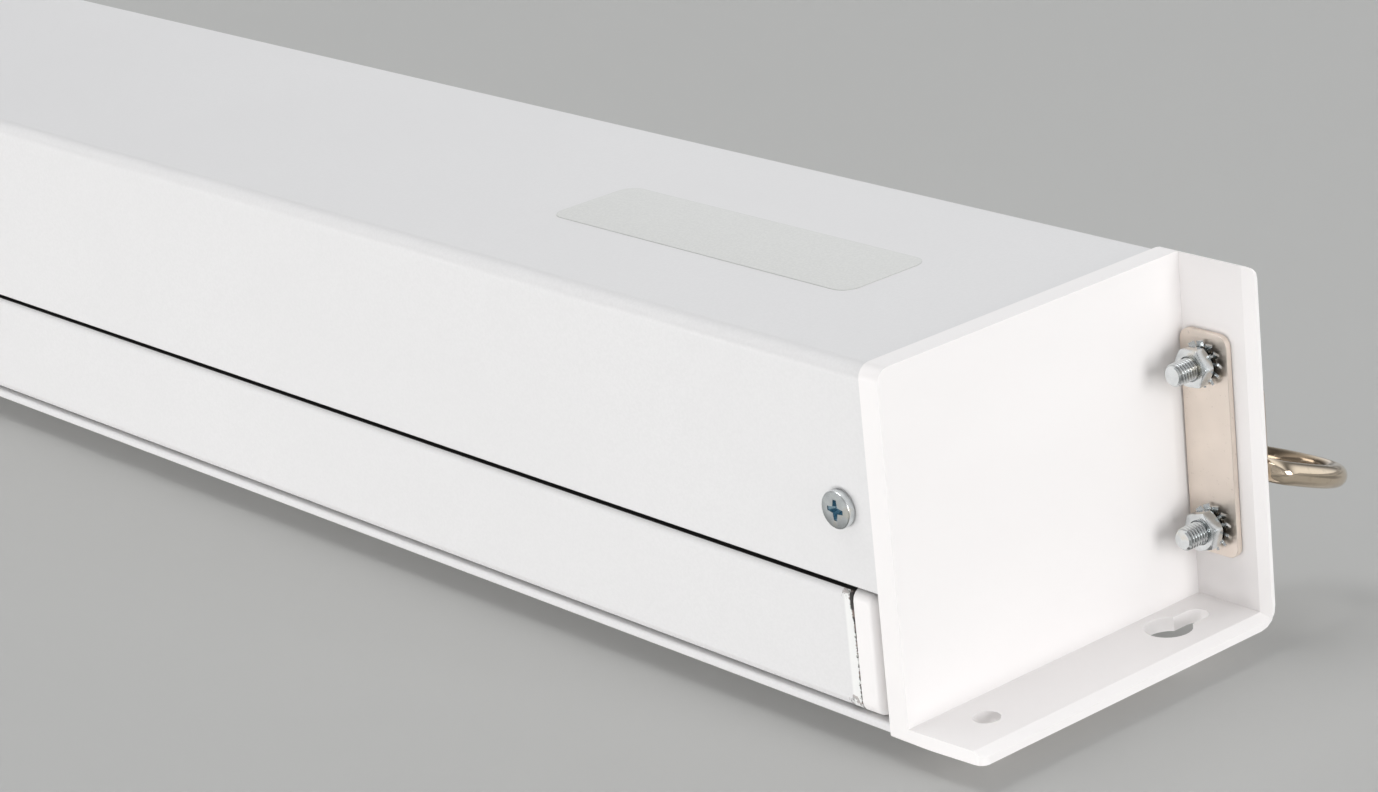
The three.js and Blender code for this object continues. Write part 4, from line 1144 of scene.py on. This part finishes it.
class PROJECTION_OT_cloth(bpy.types.Operator):
    """Wind the cloth on its tube and hang the drawn-out sheet from it"""

    bl_idname = "projection.cloth"
    bl_label = "Cloth"

    around = 48  # steps in one turn of the roll
    across = 48  # steps over the sheet's width
    rows = 180  # steps down the sheet
    fullness = 0.5 * MM

    def execute(self, context):
        self.wind()
        self.hang()
        return {"FINISHED"}

    def wind(self):
        """A spiral from the tube's skin out to where the sheet leaves at the wall side, in one direction."""
        size = sizes()
        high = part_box("fabric_roll")[1]
        axis_y, axis_z = JOINTS["roller_turn"]["pos_m"][1:]
        outer = high.y - axis_y - size.wind_pitch / 2
        inner = span_of("roller_tube").z / 2 + size.wind_pitch
        turns = (outer - inner) / size.wind_pitch
        line = []
        for i in range(int(turns * self.around) + 1):
            angle = 2 * math.pi * i / self.around
            radius = outer - size.wind_pitch * angle / (2 * math.pi)
            c, s = math.cos(angle), math.sin(angle)
            line.append((axis_y + radius * c, axis_z + radius * s, -c, -s))
        mesh = cloth_solid("cloth_roll", line, high.x, size.cloth_thickness, across=2)
        set_values(mesh, "drawn", [0.0] * len(mesh.vertices))
        piece = place_cloth("cloth_roll", mesh, "fabric_roll")
        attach(piece, "roller")

    def hang(self):
        """The flat sheet between the roll and the slat, with enough rows to be drawn out to its full drop."""
        low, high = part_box("screen_fabric")
        middle = middle_of("screen_fabric").y
        shares = np.linspace(0, 1, self.rows + 1)
        line = [(middle, high.z + (low.z - high.z) * t, -1, 0) for t in shares]
        drop = JOINTS["slat_drop"]["range_m"][1]
        height = high.z - low.z

        def lift(x, share):
            """Slight fullness of a cloth that hangs by its own weight, strongest near its edges."""
            side = abs(x) / high.x
            swell = math.sin(math.pi * share) ** 2
            return self.fullness * swell * (math.cos(9 * x) * 0.6 + side**6 * 1.2)

        mesh = cloth_solid("cloth_sheet", line, high.x, sizes().cloth_thickness, self.across, lift)
        one_side = [t * height + t * t * (3 - 2 * t) * drop for t in shares for _ in range(self.across + 1)]
        set_values(mesh, "drawn", one_side * 2)
        piece = place_cloth("cloth_sheet", mesh, "screen_fabric")
        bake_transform(piece)


class PROJECTION_OT_roller(bpy.types.Operator):
    """Dress the tube, the hubs, the ratchet with its pawls, and wind the spring"""

    bl_idname = "projection.roller"
    bl_label = "Roller"

    wire = 1.8 * MM
    turns = 40

    def execute(self, context):
        turning = ("roller_tube", "idler_hub", "pawl_hub", "spring_anchor")
        fixed = ("idler_bush", "spindle", "ratchet_wheel")
        for node in (*turning, *fixed, "pawl_upper", "pawl_lower"):
            dress(node, sizes().sheet_round)
        self.add_spring()
        return {"FINISHED"}

    def add_spring(self):
        low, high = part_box("winding_spring")
        axis = JOINTS["roller_turn"]["pos_m"]
        coil, length = (high.y - low.y - self.wire) / 2, high.x - low.x - self.wire
        named = {"Turns": float(self.turns), "Coil": coil, "Length": length, "Wire": self.wire / 2}
        made = recipe(spring_recipe).bake(None, "bare_steel", **named)
        turn = Matrix.Rotation(math.pi / 2, 4, "Y")
        made.transform(Matrix.Translation((low.x + self.wire / 2, axis[1], axis[2])) @ turn)
        add_piece("winding_spring_finished", smooth(made), ["winding_spring"])


class PROJECTION_OT_handle(bpy.types.Operator):
    """Dress the handle's bracket and bend its bail"""

    bl_idname = "projection.handle"
    bl_label = "Pull handle"

    wire = 4 * MM
    drop = 32 * MM
    bend = 4.5 * MM
    corner = 8 * MM
    inset = 20 * MM  # how far each end runs inwards

    def execute(self, context):
        dress("handle_bracket", sizes().sheet_round)
        pin = Vector(JOINTS["pull_handle_swing"]["pos_m"])
        half = (span_of("pull_handle").x - self.wire) / 2
        bend, corner = self.bend, self.corner
        run = [(half - self.inset, 0)]
        run += arc((half - bend, -bend), (bend, bend), 90, 0, 8)
        run += arc((half - corner, corner - self.drop), (corner, corner), 0, -90, 12)
        run += [(-x, z) for x, z in reversed(run)]
        wire_piece("pull_handle", [pin + Vector((x, 0, z)) for x, z in run], self.wire / 2, sides=24)
        return {"FINISHED"}


STEPS = (
    PROJECTION_OT_stage,
    PROJECTION_OT_case,
    PROJECTION_OT_end_caps,
    PROJECTION_OT_slat,
    PROJECTION_OT_hangers,
    PROJECTION_OT_fasteners,
    PROJECTION_OT_roller,
    PROJECTION_OT_cloth,
    PROJECTION_OT_handle,
)


class PROJECTION_PT_panel(bpy.types.Panel):
    """Lists the steps and the sizes and colours that they use"""

    bl_idname = "PROJECTION_PT_panel"
    bl_label = "Projection screen"
    bl_space_type = "VIEW_3D"
    bl_region_type = "UI"
    bl_category = "Screen"

    def draw(self, context):
        for step in STEPS:
            self.layout.operator(step.bl_idname)
        for group in (context.scene.projection_sizes, context.scene.projection_colours):
            box = self.layout.box()
            for name in group.bl_rna.properties.keys():
                if name not in ("name", "rna_type"):
                    box.prop(group, name)


CLASSES = (ProjectionSizes, ProjectionColours, *STEPS, PROJECTION_PT_panel)


def register():
    for each in CLASSES:
        bpy.utils.register_class(each)
    bpy.types.Scene.projection_sizes = bpy.props.PointerProperty(type=ProjectionSizes)
    bpy.types.Scene.projection_colours = bpy.props.PointerProperty(type=ProjectionColours)


def unregister():
    del bpy.types.Scene.projection_sizes
    del bpy.types.Scene.projection_colours
    for each in reversed(CLASSES):
        bpy.utils.unregister_class(each)


def main():
    register()
    for step in STEPS:
        name = step.bl_idname.split(".")[1]
        if getattr(bpy.ops.projection, name)() != {"FINISHED"}:
            raise RuntimeError(f"{step.bl_label} was not finished")


if __name__ == "__main__":
    main()
